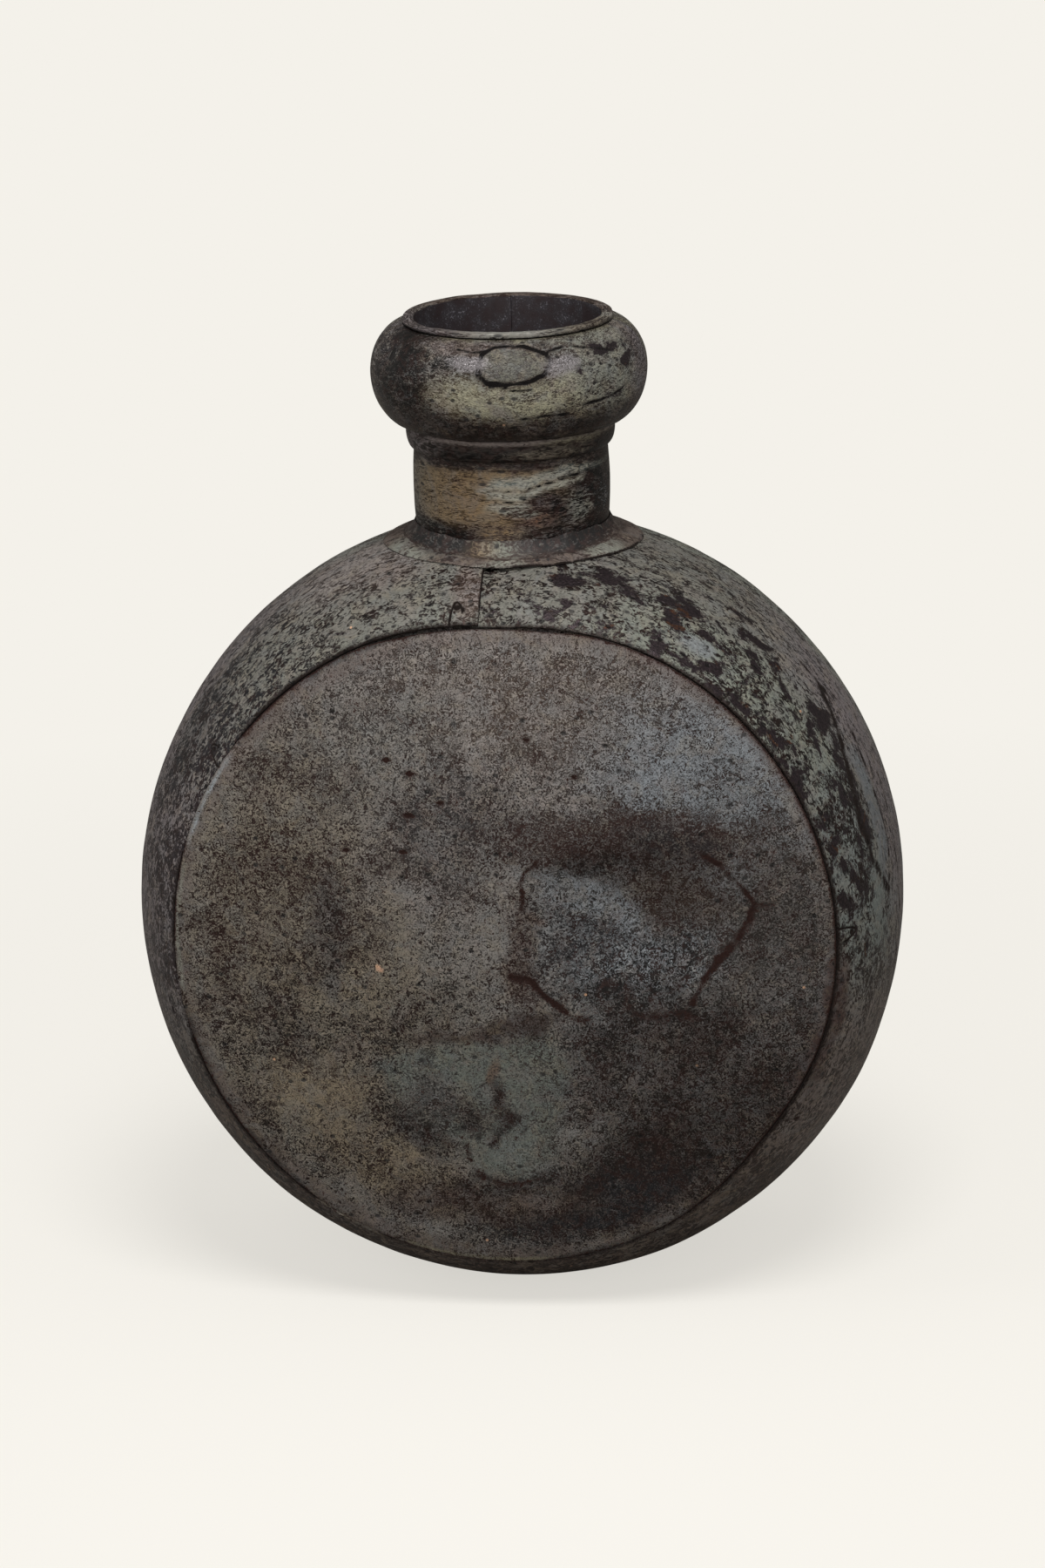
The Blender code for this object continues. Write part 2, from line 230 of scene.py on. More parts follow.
def emptyMaterial(name):
    material = bpy.data.materials.new(name)
    material.use_nodes = True
    material.node_tree.nodes.clear()
    return material, material.node_tree


def put(tree, kind, inputs=(), **settings):
    # adds one node, with its settings, and its sockets set or linked
    made = tree.nodes.new("ShaderNode" + kind)
    for name, value in settings.items():
        setattr(made, name, value)
    for name, value in dict(inputs).items():
        if isinstance(value, bpy.types.NodeSocket):
            tree.links.new(value, made.inputs[name])
        else:
            made.inputs[name].default_value = value
    return made.outputs


def nodeTools(tree):
    # the sums that every material is made of
    def maths(kind, *values):
        return put(tree, "Math", dict(enumerate(values)), operation=kind)[0]

    def ranged(value, fromMin, fromMax, toMin=0, toMax=1):
        return put(tree, "MapRange", {"Value": value, "From Min": fromMin, "From Max": fromMax,
                                      "To Min": toMin, "To Max": toMax})[0]

    def edge(value, middle, soft):
        return put(tree, "MapRange", {"Value": value, "From Min": middle - soft, "From Max": middle + soft},
                   interpolation_type="SMOOTHSTEP")[0]

    def mixed(share, first, second):
        first, second = (linearColour(c) if isinstance(c, str) else c for c in (first, second))
        return put(tree, "Mix", {0: share, 6: first, 7: second}, data_type="RGBA")[2]

    def scaled(value, size):
        return put(tree, "VectorMath", {0: value, 3: size}, operation="SCALE")[0]

    return maths, ranged, edge, mixed, scaled


plainLook = {                    # what the look of a piece leaves out
    # grain of the paint, in cells that stretch along the sheet
    "stretch": 1.0, "twist": 1.0, "crumbShare": 0.3, "grainSoft": 0.16, "fineShare": 0.45,
    "patchStretch": 1.0, "patchShare": 0.4, "swellMm": 24, "swellShare": 0.28,
    "flakeStretch": 1.6, "flakeSoft": 0.06, "coverEdge": 1.125, "bareEdge": 1.26,
    # drifts of colour: seed, edge and paint; then how light each layer is, from and to
    "drifts": ((6, 0.66, "sand"), (7, 0.62, "slate"), (10, 0.7, "pinkBrown")), "driftMm": 9,
    "driftShare": 0.4, "ruddyMm": 5, "ruddyShare": 0.7,
    "ironTones": (0.0, 1.1, 0.45, 1.3), "paintTones": (0.3, 1.4, 0.6, 1.36),
    "tornTones": (0, 1, 0.6, 1.6), "lineTones": (0.2, 1.2, 0.6, 1.5),
    # dark lines, worn bare places with a painted highlight, pits and chips
    "lineIron": "redOxide", "lineRag": 0.7, "lineSoft": 0.3, "rubbedHighlightTint": "#A39A98",
    "pitStretch": 1.3, "pitShare": 0.25, "pitSize": 0.2, "chipMm": 15, "chipShare": 0.04, "chipSize": 0.035,
    # finish and relief
    "ironRough": 0.42, "paintRough": 0.66, "ironMetal": 0.75, "paintMetal": 0.1, "bareMetal": 0.85,
    "bump": 0.8, "reliefDepth": 0.2 * mm,
}


def wornIron(name, look):
    # Hand-hammered sheet iron, painted long ago. The paint has gone chalky and broken up into
    # worm-like specks and torn flakes, which gives a dull stony grain; the oxide between them is
    # darker, smoother and a little metallic, so it takes a soft shine at grazing light. Cracks and
    # seams hold black scale, matt but metallic, so they stay dark at every angle; along the seams
    # and the lap joint part of this dark is painted shade of their grooves.
    look = {**plainLook, **look}
    material, tree = emptyMaterial(name)
    maths, ranged, edge, mixed, scaled = nodeTools(tree)
    skin = put(tree, "Attribute", attribute_name="skin")["Vector"]
    held = {key: put(tree, "Attribute", attribute_name=key) for key in
            ("pale", "dark", "cover", "bare", "line", "wear")}

    def placed(size, stretch, seed):
        # skin in cells of size mm, stretch times as long as high
        return put(tree, "Mapping", {"Vector": skin, "Location": (seed * 3.7, seed * 9.1, 0),
                                     "Scale": (1 / (size * stretch), 1 / size, 1)})["Vector"]

    def sampled(size, stretch, detail, distortion, seed):
        wave = put(tree, "TexNoise", {"Vector": placed(size, stretch, seed), "Scale": 1.0, "Detail": detail,
                                      "Roughness": 0.62, "Distortion": distortion}, noise_dimensions="2D")
        return ranged(wave[0], 0.3, 0.7)

    def cells(size, stretch, channel):
        # distance to the middle of the nearest cell, and a random number for each cell
        made = put(tree, "TexVoronoi", {"Vector": placed(size, stretch, 0), "Scale": 1.0},
                   voronoi_dimensions="2D")
        return made["Distance"], put(tree, "SeparateColor", {0: made["Color"]})[channel]

    # bands between the contours of a wide swell read as worm-like crumbs
    crumbs = sampled(look["grainMm"] * 2.0, look["stretch"], 1.0, look["twist"], 9)
    crumbs = maths("PINGPONG", maths("MULTIPLY_ADD", crumbs, 2.0, 0.5), 1.0)
    grain = sampled(look["grainMm"], look["stretch"], 2.0, look["twist"], 1)
    grain = maths("MULTIPLY_ADD", crumbs, look["crumbShare"],
                  maths("MULTIPLY", grain, 1 - look["crumbShare"]))
    blotch = sampled(look["patchMm"], look["patchStretch"], 4.0, 0.6, 2)
    swell = sampled(look["swellMm"], 1.0, 3.0, 0.4, 3)
    flake = sampled(look["flakeMm"], look["flakeStretch"], 9.0, 0.25, 4)
    fine = sampled(look["grainMm"] * look["fineShare"], look["stretch"], 1.0, 0.5, 5)

    # how much of the paint is left
    uneven = maths("MULTIPLY_ADD", blotch, look["patchShare"], held["cover"]["Fac"])
    uneven = maths("MULTIPLY_ADD", swell, look["swellShare"], uneven)
    bitten = maths("MULTIPLY_ADD", fine, 0.25, maths("ADD", grain, uneven))
    middle = look["coverEdge"] + (look["patchShare"] + look["swellShare"]) / 2
    painted = edge(bitten, middle, look["grainSoft"])
    torn = maths("MULTIPLY_ADD", grain, 0.4, maths("ADD", flake, held["bare"]["Fac"]))
    torn = edge(torn, look["bareEdge"], look["flakeSoft"])
    kept = maths("MULTIPLY", painted, maths("SUBTRACT", 1.0, torn))

    # chalky paint drifts warmer and cooler, iron drifts redder
    chalk = held["pale"]["Color"]
    for seed, middle, paint in look["drifts"]:
        drift = edge(sampled(look["driftMm"], 1.0, 5.0, 0.6, seed), middle, 0.25)
        chalk = mixed(maths("MULTIPLY", drift, look["driftShare"]), chalk, paint)
    ruddy = edge(sampled(look["ruddyMm"], 1.0, 5.0, 0.6, 8), 0.55, 0.2)
    iron = mixed(maths("MULTIPLY", ruddy, look["ruddyShare"]), held["dark"]["Color"], "redOxide")
    strength = maths("MULTIPLY_ADD", fine, 0.5, grain)
    tint = mixed(painted, scaled(iron, ranged(strength, *look["ironTones"])),
                 scaled(chalk, ranged(strength, *look["paintTones"])))
    under = mixed(edge(blotch, 0.86, 0.1), "tornIron", "oldRust")
    tint = mixed(torn, tint, scaled(under, ranged(fine, *look["tornTones"])))
    rag = look["lineRag"]
    ragged = maths("MULTIPLY_ADD", blotch, 0.6 * rag, maths("MULTIPLY_ADD", grain, rag, held["line"]["Fac"]))
    rusty = edge(ragged, 0.48 + 0.8 * rag, look["lineSoft"])
    scale = scaled(linearColour(look["lineIron"])[:3], ranged(strength, *look["lineTones"]))
    tint = mixed(rusty, tint, scale)
    # worn bare places: more metallic and smoother, and made lighter as a painted highlight
    rubbedAndHighlight = edge(maths("MULTIPLY_ADD", strength, 0.5, held["wear"]["Fac"]), 1.0, 0.35)
    tint = mixed(rubbedAndHighlight, tint, look["rubbedHighlightTint"])

    # small pits, and a few chips where the paint has come off lately
    away, rare = cells(look["pitMm"], look["pitStretch"], 0)
    pitted = maths("MULTIPLY", edge(away, look["pitSize"], -0.08), edge(rare, 1 - look["pitShare"], 0.02))
    tint = mixed(maths("MULTIPLY", pitted, 0.85), tint, "soot")
    away, rare = cells(look["chipMm"], 1.0, 1)
    chipped = maths("MULTIPLY", edge(away, look["chipSize"], -0.012),
                    edge(rare, 1 - look["chipShare"], 0.005))
    tint = mixed(chipped, tint, "chip")

    # finish and relief
    dull = ranged(kept, 0, 1, look["ironRough"], look["paintRough"])
    dull = maths("SUBTRACT", maths("MULTIPLY_ADD", rusty, 0.25, dull), maths("MULTIPLY", rubbedAndHighlight, 0.15))
    metal = ranged(kept, 0, 1, look["ironMetal"], look["paintMetal"])
    for share in (rubbedAndHighlight, rusty):
        metal = maths("MAXIMUM", metal, maths("MULTIPLY", share, look["bareMetal"]))
    height = maths("MULTIPLY_ADD", strength, 0.6, kept)
    for share, drop in ((pitted, -1.4), (rusty, -0.6)):
        height = maths("MULTIPLY_ADD", share, drop, height)
    relief = put(tree, "Bump", {"Strength": look["bump"], "Distance": look["reliefDepth"],
                                "Height": height})[0]
    surface = put(tree, "BsdfPrincipled", {"Base Color": tint, "Roughness": dull, "Metallic": metal,
                                           "Normal": relief})[0]
    put(tree, "OutputMaterial", {"Surface": surface})
    return material


# Shape of the hoop, as the solids have it

hoop = {
    "radius": 0.150, "halfWidth": 0.0687, "radiusMm": 150, "halfMm": 68.7, "seamRadius": 0.1285,
    "footSink": 0.0018, "power": 2.4, "rise": 0.0106, "drop": 0.0150, "sheet": 0.0012, "gap": 0.0003,
    "flats": ((0.245, 0.026, 0.050), (0.895, 0.022, 0.045)),     # turn, depth, spread of the seam's flats
}
layer = hoop["sheet"] + hoop["gap"]
hoopCentre = hoop["radius"] * (1 + hoop["drop"]) - hoop["footSink"]
crown = hoopCentre + hoop["radius"] * (1 + hoop["rise"])


def seamRadiusAt(angle):
    radius = np.full(np.shape(angle), hoop["seamRadius"])
    for at, depth, spread in hoop["flats"]:
        away = (np.asarray(angle) / turn - at + 0.5) % 1 - 0.5
        radius = radius - hoop["seamRadius"] * depth * np.exp(-(away / spread) ** 2)
    return radius


def insideSeam(angle, radius):
    # mm from the seam towards the middle of a disc
    return (seamRadiusAt(angle)[:, None] - radius) / mm


def hoopPlace(angle, radius, out):
    height = radius * np.sin(angle)
    stretch = 1 + np.where(height > 0, hoop["rise"], hoop["drop"])
    return stacked(radius * np.cos(angle), out, hoopCentre + height * stretch)


def barrelProfile(angle, across, depth):
    fall = hoop["radius"] - seamRadiusAt(angle)
    size = np.abs(across)
    radius = hoop["radius"] - fall * size ** hoop["power"]
    tilt = np.arctan(fall * hoop["power"] * size ** (hoop["power"] - 1) / hoop["halfWidth"])
    out = across * hoop["halfWidth"] - np.sign(across) * depth * np.sin(tilt)
    return radius - depth * np.cos(tilt), out


def seamTilt(angle):
    return np.arctan((hoop["radius"] - seamRadiusAt(angle)) * hoop["power"] / hoop["halfWidth"])


def skinHeight(x, y):
    angle = np.full(np.shape(x), turn / 4)
    for _ in range(3):
        radius = barrelProfile(angle, y / hoop["halfWidth"], 0)[0]
        angle = np.arccos(x / radius)
    return hoopPlace(angle, radius, y)[..., 2]


crevice = {                      # how dark the seam is, by angle: black scale in the joint, partly painted shade of its groove
    "angles": (-90, -60, -38, -18, 5, 30, 55, 75, 92, 112, 138, 146, 158, 168, 178, 187, 200, 235, 258),
    "darks": (0.6, 0.7, 0.9, 1.1, 0.9, 1.0, 1.0, 0.8, 0.8, 1.2, 1.0, 0.0, 0.0, 0.9, 0.9, 0.1, 0.9, 0.8, 0.5),
}
rimStreaks = (                   # first and last degree, mm inside the seam, half width, colours, share
    # pale frost streak on the left of the seam: partly a painted glint on its edge, over cream paint
    (143, 163, 1.7, 0.8, "frost", "cream", 1.0),
    (121, 142, 1.7, 1.3, "maroon", "maroon", 1.0),
    (164, 190, 2.3, 0.9, "flakeGreen", "smoothBrown", 0.9),
    (190, 214, 1.6, 1.2, "darkOxide", "soot", 0.9),
    (214, 232, 1.8, 1.5, "darkOxide", "soot", 0.8),
    (232, 248, 0.3, 0.9, "tanPaint", "smoothBrown", 0.9),
    (250, 278, 1.8, 0.7, "olive", "rubbedOchre", 0.9),
    (276, 300, 1.4, 1.1, "soot", "soot", 0.8),
    (331, 361, 2.7, 2.7, "redOxide", "darkOxide", 1.0),
    (12, 92, 1.2, 1.1, "maroon", "redOxide", 0.9),
    (95, 126, 1.7, 1.2, "soot", "soot", 0.9),
)

# Barrel band

band = {
    "lapLength": 0.012, "joggleLength": 0.022, "joggleLand": 0.006, "jointOffset": 0.0065,
    "neckHole": 0.0383, "step": 0.0022, "fineStep": 0.00038, "fineReach": 0.034, "innerRows": 14,
    "swellDepth": 0.35 * mm, "swellSize": 0.045, "beatDepth": 0.12 * mm, "beatSize": 0.013,
    "edgeRound": 0.35 * mm, "edges": (-1, -0.985, -0.965), "calmEdge": 0.12, "calmSaddle": (0.05, 0.02),
    "calmFoot": (0.15, 0.02), "seamDark": 0.75, "seamMm": 1.2, "jointDark": 1.1, "jointMm": 0.5,
}
stake = {                        # struck tongues at both seams; places in mm, inwards from the seam
    "angles": (1.7, 47, 96.6, 146, 193, 238, 283, 328), "darks": (1.2, 0.7, 1.3, 0.9, 0.4, 0.4, 0.3, 0.3),
    "path": ((-3.2, -1), (-2.9, 2), (-2.3, 6), (-1.5, 9.5), (-0.7, 11.1), (0, 11.5),
             (0.7, 11.1), (1.5, 9.5), (2.3, 6), (2.9, 2), (3.2, -1)),
    "halfWidth": 3.4, "length": 11.5, "taper": 13, "groove": 0.45, "pit": 0.6, "pitAt": 8.6, "bulge": 0.35,
}
bandPlan = {                     # degrees round the band, shares across it; -1 is the front seam
    "unit": (math.radians(1) * 150, 68.7), "wobble": 3.5,
    "pale": "greenGrey", "dark": "darkOxide", "cover": 0.62, "bare": 0.1,
    "zones": (
        # left half, from the joint down
        spot(112, -0.6, 48, 34, "bandGrey", "greyOxide", 0.63),
        spot(116, -0.3, 44, 22, "pinkGrey", "pinkBrown", 0.6),
        spot(100, -0.2, 22, 22, "pinkGrey", "smoothBrown", 0.6, share=0.9),
        spot(108, -0.55, 13, 9, "pinkBrown", "smoothBrown", share=0.7),
        spot(138, -0.6, 42, 50, "bandGrey", "blueOxide", 0.5),
        spot(175, -0.5, 75, 80, "plumGrey", "plumIron", 0.42),
        spot(165, -0.1, 110, 30, "plumGrey", "plumIron", 0.6),
        spot(147, -0.62, 26, 13, "dimGrey", "blueOxide", 0.42, share=0.8, tilt=-8),
        spot(225, -0.5, 70, 90, "smoothBrown", "darkOxide", 0.45),
        spot(270, -0.4, 90, 90, "smoothBrown", "brownOxide", 0.45),
        spot(318, -0.4, 80, 90, "smoothBrown", "brownOxide", 0.5),
        # right half, upwards to the joint
        spot(372, -0.7, 70, 30, "blueGreen", "darkOxide", 0.56, bare=0.36),
        spot(410, -0.7, 60, 30, "greenGrey", "darkOxide", 0.6, bare=0.38),
        spot(443, -0.7, 36, 30, "bandGrey", "darkOxide", 0.64, bare=0.22),
        spot(392, -0.12, 130, 26, "plumGrey", "plumIron", 0.72, bare=0.1),
        spot(425, -0.25, 54, 26, "bandGrey", "greyOxide", 0.62, bare=0.15),
        spot(336, -0.6, 42, 60, "pinkBrown", "brownOxide", 0.6, bare=0.0, share=0.85),
        # torn patches: place, half sizes, how bare, softness and tilt
        *(spot(*place, bare=bare, soft=soft, tilt=tilt) for *place, bare, soft, tilt in (
            (431, -0.64, 8, 6, 0.74, 0.6, 0), (433.5, -0.59, 7, 5, 0.7, 0.6, 0),
            (422, -0.64, 9, 7, 0.8, 0.5, -10), (416.5, -0.69, 7, 6, 0.76, 0.6, 0),
            (438.6, -0.66, 7, 4, 0.66, 0.7, 0), (438.8, -0.84, 3, 2, 0.8, 0.7, 0),
            (407, -0.54, 14, 5, 0.62, 0.8, 0), (414, -0.38, 9, 4, 0.6, 0.8, 0),
            (401, -0.66, 5, 3, 0.7, 0.6, 0), (394, -0.53, 12, 5, 0.6, 0.8, 0),
            (380, -0.62, 34, 5, 0.66, 0.7, 10))),
        # long clean tongues of paint on the right
        spot(377, -0.44, 25, 6, "slate", "coal", 0.95, bare=0.0, soft=0.3, tilt=8),
        spot(364, -0.62, 15, 6, "blueGreen", "coal", 0.95, bare=0.0, soft=0.3, tilt=4),
        spot(416, -0.84, 8, 4, "blueGrey", "coal", 0.85, bare=0.0, share=0.7),
        # worn strip low at the right, ragged paint along the seam above it
        spot(346, -0.965, 34, 4.6, "maroon", "maroon", 0.6, bare=0.0, soft=0.4, tilt=-2),
        spot(404, -0.975, 96, 4, bare=0.6, soft=0.9),
        # rust beside the torn patches, and smooth brown left of the joint
        spot(414.5, -0.75, 2.6, 1.6, "rust", "rust", bare=0.0, share=0.9),
        spot(94.8, -0.76, 5.5, 14, "pinkBrown", "smoothBrown", 0.6, bare=0.0, soft=0.6),
        # the hidden half, worn in the same way
        spot(130, 0.6, 120, 30, "greyPaint", "darkOxide", 0.6, bare=0.25),
        spot(220, 0.6, 130, 34, "tanPaint", "brownOxide", 0.5, bare=0.1),
        spot(330, 0.6, 120, 34, "blueGreen", "darkOxide", 0.55, bare=0.35),
        spot(410, 0.6, 90, 30, "greenGrey", "greyOxide", 0.7, bare=0.3),
    ),
    "lines": (
        stroke(1.7, 1.0, (397, -0.3), (389, -0.48), (383, -0.6), (378, -0.66), (371, -0.63), (365, -0.5)),
        stroke(0.9, 1.0, (388, -0.28), (378, -0.35), (370, -0.37), (366, -0.44), (362, -0.5)),
        stroke(0.7, 0.7, (424, -0.3), (412, -0.25), (398, -0.28), (388, -0.26)),
        stroke(0.8, 0.8, (380, -0.12), (372, -0.2), (364, -0.24), (352, -0.3)),
        stroke(0.6, 0.7, (442, -0.44), (430, -0.4), (420, -0.42)),
    ),
}
bandLook = {                     # coarse streaky paint, torn off in broad flakes down to dark oxide
    "grainMm": 1.5, "stretch": 1.9, "grainSoft": 0.2, "patchMm": 6, "patchStretch": 1.8, "flakeMm": 7,
    "flakeStretch": 1.7, "flakeSoft": 0.09, "pitMm": 3.2, "pitStretch": 1.8, "pitShare": 0.18,
    "chipShare": 0.02, "lineIron": "darkOxide", "driftShare": 0.28,
}

lapAngle = band["lapLength"] / hoop["radius"]
joggleAngle = band["joggleLength"] / hoop["radius"]
landAngle = band["joggleLand"] / hoop["radius"]
sinkStart = turn - landAngle - joggleAngle
jointAngle = turn / 4 + math.asin(band["jointOffset"] / hoop["radius"])


def steppedRange(first, last, step, fineStep, fineAt, fineReach):
    # positions from first to last, closer together near the places that need it
    places = [first]
    while places[-1] < last:
        near = any(abs(places[-1] - at) < fineReach for at in fineAt)
        places.append(places[-1] + (fineStep if near else step))
    places[-1] = last
    return np.array(places)


def roundShare(angle, places, values):
    # value at an angle, read between places given in degrees round the circle
    degrees = np.degrees(angle) % 360
    return np.interp(degrees, np.array(places) % 360, values, period=360)


def streakRim(fields, angle, inside, grid):
    # uneven streaks along the front seam; inside is the distance from it in mm
    degrees = np.degrees(angle) % 360
    wavy = inside + 0.5 * ripple(grid, 5, 3, 55)
    for first, last, middle, width, pale, dark, share in rimStreaks:
        along = (degrees - first) % 360
        window = ease(along / 3) * ease((last - first - along) / 3)
        weight = share * window * np.exp(-((wavy - middle) / width) ** 2)
        for key, name in (("pale", pale), ("dark", dark)):
            fields[key] += weight[..., None] * (linearColour(name) - fields[key])
        fields["cover"] += weight * (0.75 - fields["cover"])
        if pale in paints:
            fields["line"] *= 1 - weight


def stakeMarks(angle, across):
    # dark outline and relief of the struck tongues, from the place on the band
    fromSeam = (1 - np.abs(across)) * hoop["halfWidth"] / np.cos(seamTilt(angle)) / mm
    line = np.zeros(np.shape(angle))
    lift = np.zeros(np.shape(angle))
    for at, dark in zip(stake["angles"], stake["darks"]):
        along = apart(angle, math.radians(at)) * barrelProfile(angle, across, 0)[0] / mm
        near = (np.abs(along) < 7) & (fromSeam < 16)
        x, y = along[near], fromSeam[near]
        groove = pathDistance(stacked(x, y), stake["path"])
        pit = np.hypot(x, (y - stake["pitAt"]) * 0.8)
        tongue = stake["halfWidth"] * (1 - np.clip(y, 0, stake["length"]) / stake["taper"])
        shape = -stake["groove"] * np.exp(-(groove / 0.45) ** 2) - stake["pit"] * np.exp(-(pit / 1.2) ** 2)
        shape += stake["bulge"] * ease(1.2 - np.abs(x) / tongue) * ease(1 - y / 9)
        mark = dark * np.maximum(np.exp(-(groove / 0.42) ** 2), 1.2 * np.exp(-(pit / 1.1) ** 2))
        line[near] = np.maximum(line[near], mark)
        lift[near] += shape * mm
    return line, lift


def makeBand():
    fineAt = [math.radians(a) for a in stake["angles"]]
    fineAt = [0] + [(a if a > jointAngle else a + turn) - jointAngle for a in fineAt]
    step, fineStep = band["step"] / hoop["radius"], band["fineStep"] / hoop["radius"]
    walked = steppedRange(0, turn + lapAngle, step, fineStep, fineAt, band["fineReach"])
    rows = steppedRange(-0.95, 0.95, 0.032, 0.0065, (-0.88, 0.88), 0.08)
    outerRows = np.concatenate([band["edges"], rows, -np.array(band["edges"][::-1])])
    innerRows = np.sin(np.linspace(turn / 4, -turn / 4, band["innerRows"]))
    across = np.concatenate([outerRows, innerRows])
    isInner = (np.arange(len(across)) >= len(outerRows))[None, :]
    inset = hoop["sheet"] * isInner
    walk, side = np.meshgrid(walked, across, indexing="ij")
    jointRadius = barrelProfile(np.full(len(across), jointAngle), across, 0)[0]
    angle = turn / 4 + np.arcsin(band["jointOffset"] / jointRadius)[None, :] + walk
    sunk = layer * ease((walk - sinkStart) / joggleAngle)
    # hammer marks, calmer beside the seams, the saddle and the foot
    plain = hoopPlace(angle, *barrelProfile(angle, side, 0))
    offSeam = ease((1 - np.abs(side)) / band["calmEdge"])
    nearest, fade = band["calmSaddle"]
    offSaddle = ease((np.hypot(plain[..., 0], plain[..., 1]) - nearest) / fade)
    calm = np.where(plain[..., 2] < hoopCentre, offSeam, offSeam * offSaddle)
    least, fade = band["calmFoot"]
    calm *= least + (1 - least) * ease(plain[..., 2] / fade)
    beaten = band["swellDepth"] * ripple(plain, band["swellSize"], 2, 3)
    beaten += band["beatDepth"] * ripple(plain, band["beatSize"], 2, 4)
    stakeLine, stakeLift = stakeMarks(angle, side)
    lift = calm * beaten + np.where(isInner, 0, stakeLift)
    rounded = band["edgeRound"] * ease((np.abs(side) - 0.985) / 0.015) * ~isInner
    loops = hoopPlace(angle, *barrelProfile(angle, side, sunk + inset - lift + rounded))
    loops[..., 2] = np.maximum(loops[..., 2], sunk + inset)
    skin = np.stack([angle * hoop["radiusMm"], side * (hoop["halfMm"] + 1.2 * isInner)], -1)
    fields = paintPlan(skin, bandPlan, 10)
    # dark lip at both edges, struck outlines and the joint; at the seams and the joint's step the dark is
    # partly painted shade
    fromSeam = (1 - np.abs(side)) * hoop["halfMm"]
    seamDark = band["seamDark"] * np.exp(-(fromSeam / band["seamMm"]) ** 2)
    seamDark *= roundShare(angle, crevice["angles"], crevice["darks"])
    jointDark = 0.55 + 0.6 * ease((fromSeam - 4) / 4) * ease((26 - fromSeam) / 8)
    jointDark *= band["jointDark"] * np.exp(-((walk * hoop["radiusMm"]) / band["jointMm"]) ** 2)
    fields["line"] = np.maximum.reduce([fields["line"], stakeLine, seamDark, jointDark])
    inside = np.where(isInner, 1.0, -fromSeam / np.cos(seamTilt(angle)))
    streakRim(fields, angle, np.where(side < 0, inside, 9), skin)
    material = wornIron("hammeredBandIron", bandLook)
    piece = sweptPiece("barrelBand", loops, skin, fields, material, closed=False)
    # the hole for the neck, cut as in the solid
    bpy.ops.mesh.primitive_cylinder_add(vertices=96, radius=band["neckHole"], depth=0.06,
                                        location=(0, 0, crown))
    cutter = bpy.context.object
    hole = piece.modifiers.new("neckHole", "BOOLEAN")
    hole.object, hole.operation, hole.solver = cutter, "DIFFERENCE", "EXACT"
    bpy.context.view_layer.objects.active = piece
    bpy.ops.object.modifier_apply(modifier="neckHole")
    bpy.data.objects.remove(cutter, do_unlink=True)
    stands(piece, "body_band")


makeBand()

# Discs

disc = {
    "flange": 0.008, "bend": 0.006, "dome": 0.016, "settle": 6, "steps": 600, "rings": 136, "backRings": 12,
    "swellDepth": 0.55 * mm, "swellSize": 0.055, "beatDepth": 0.14 * mm, "beatSize": 0.016,
}
dent = {                         # the blow on the front, mm from the disc's middle
    "at": (49, 15.5), "size": (100, 72), "depth": 6.2 * mm, "crease": 0.8 * mm,
    "outline": ((12, 35), (9, 29), (9, 23), (9.5, 5), (9.5, -10), (15, -12), (24, -21), (31, -24), (56, -23),
                (71, -23), (75, -12), (86, 1), (95, 12), (96, 19), (92, 26), (84, 36), (70, 40), (40, 40)),
    "nicks": ((-42, 76, 1.4), (-33, 71, 1.8), (-33, 55, 2.2), (-36, 41, 1.8), (-58, 41, 1.5),
              (-21, 60, 1.2), (12, 84, 1.3), (30, 70, 1.2)),      # x, height and half length
    "nickHigh": 0.85, "nickDepth": 0.35 * mm,
}
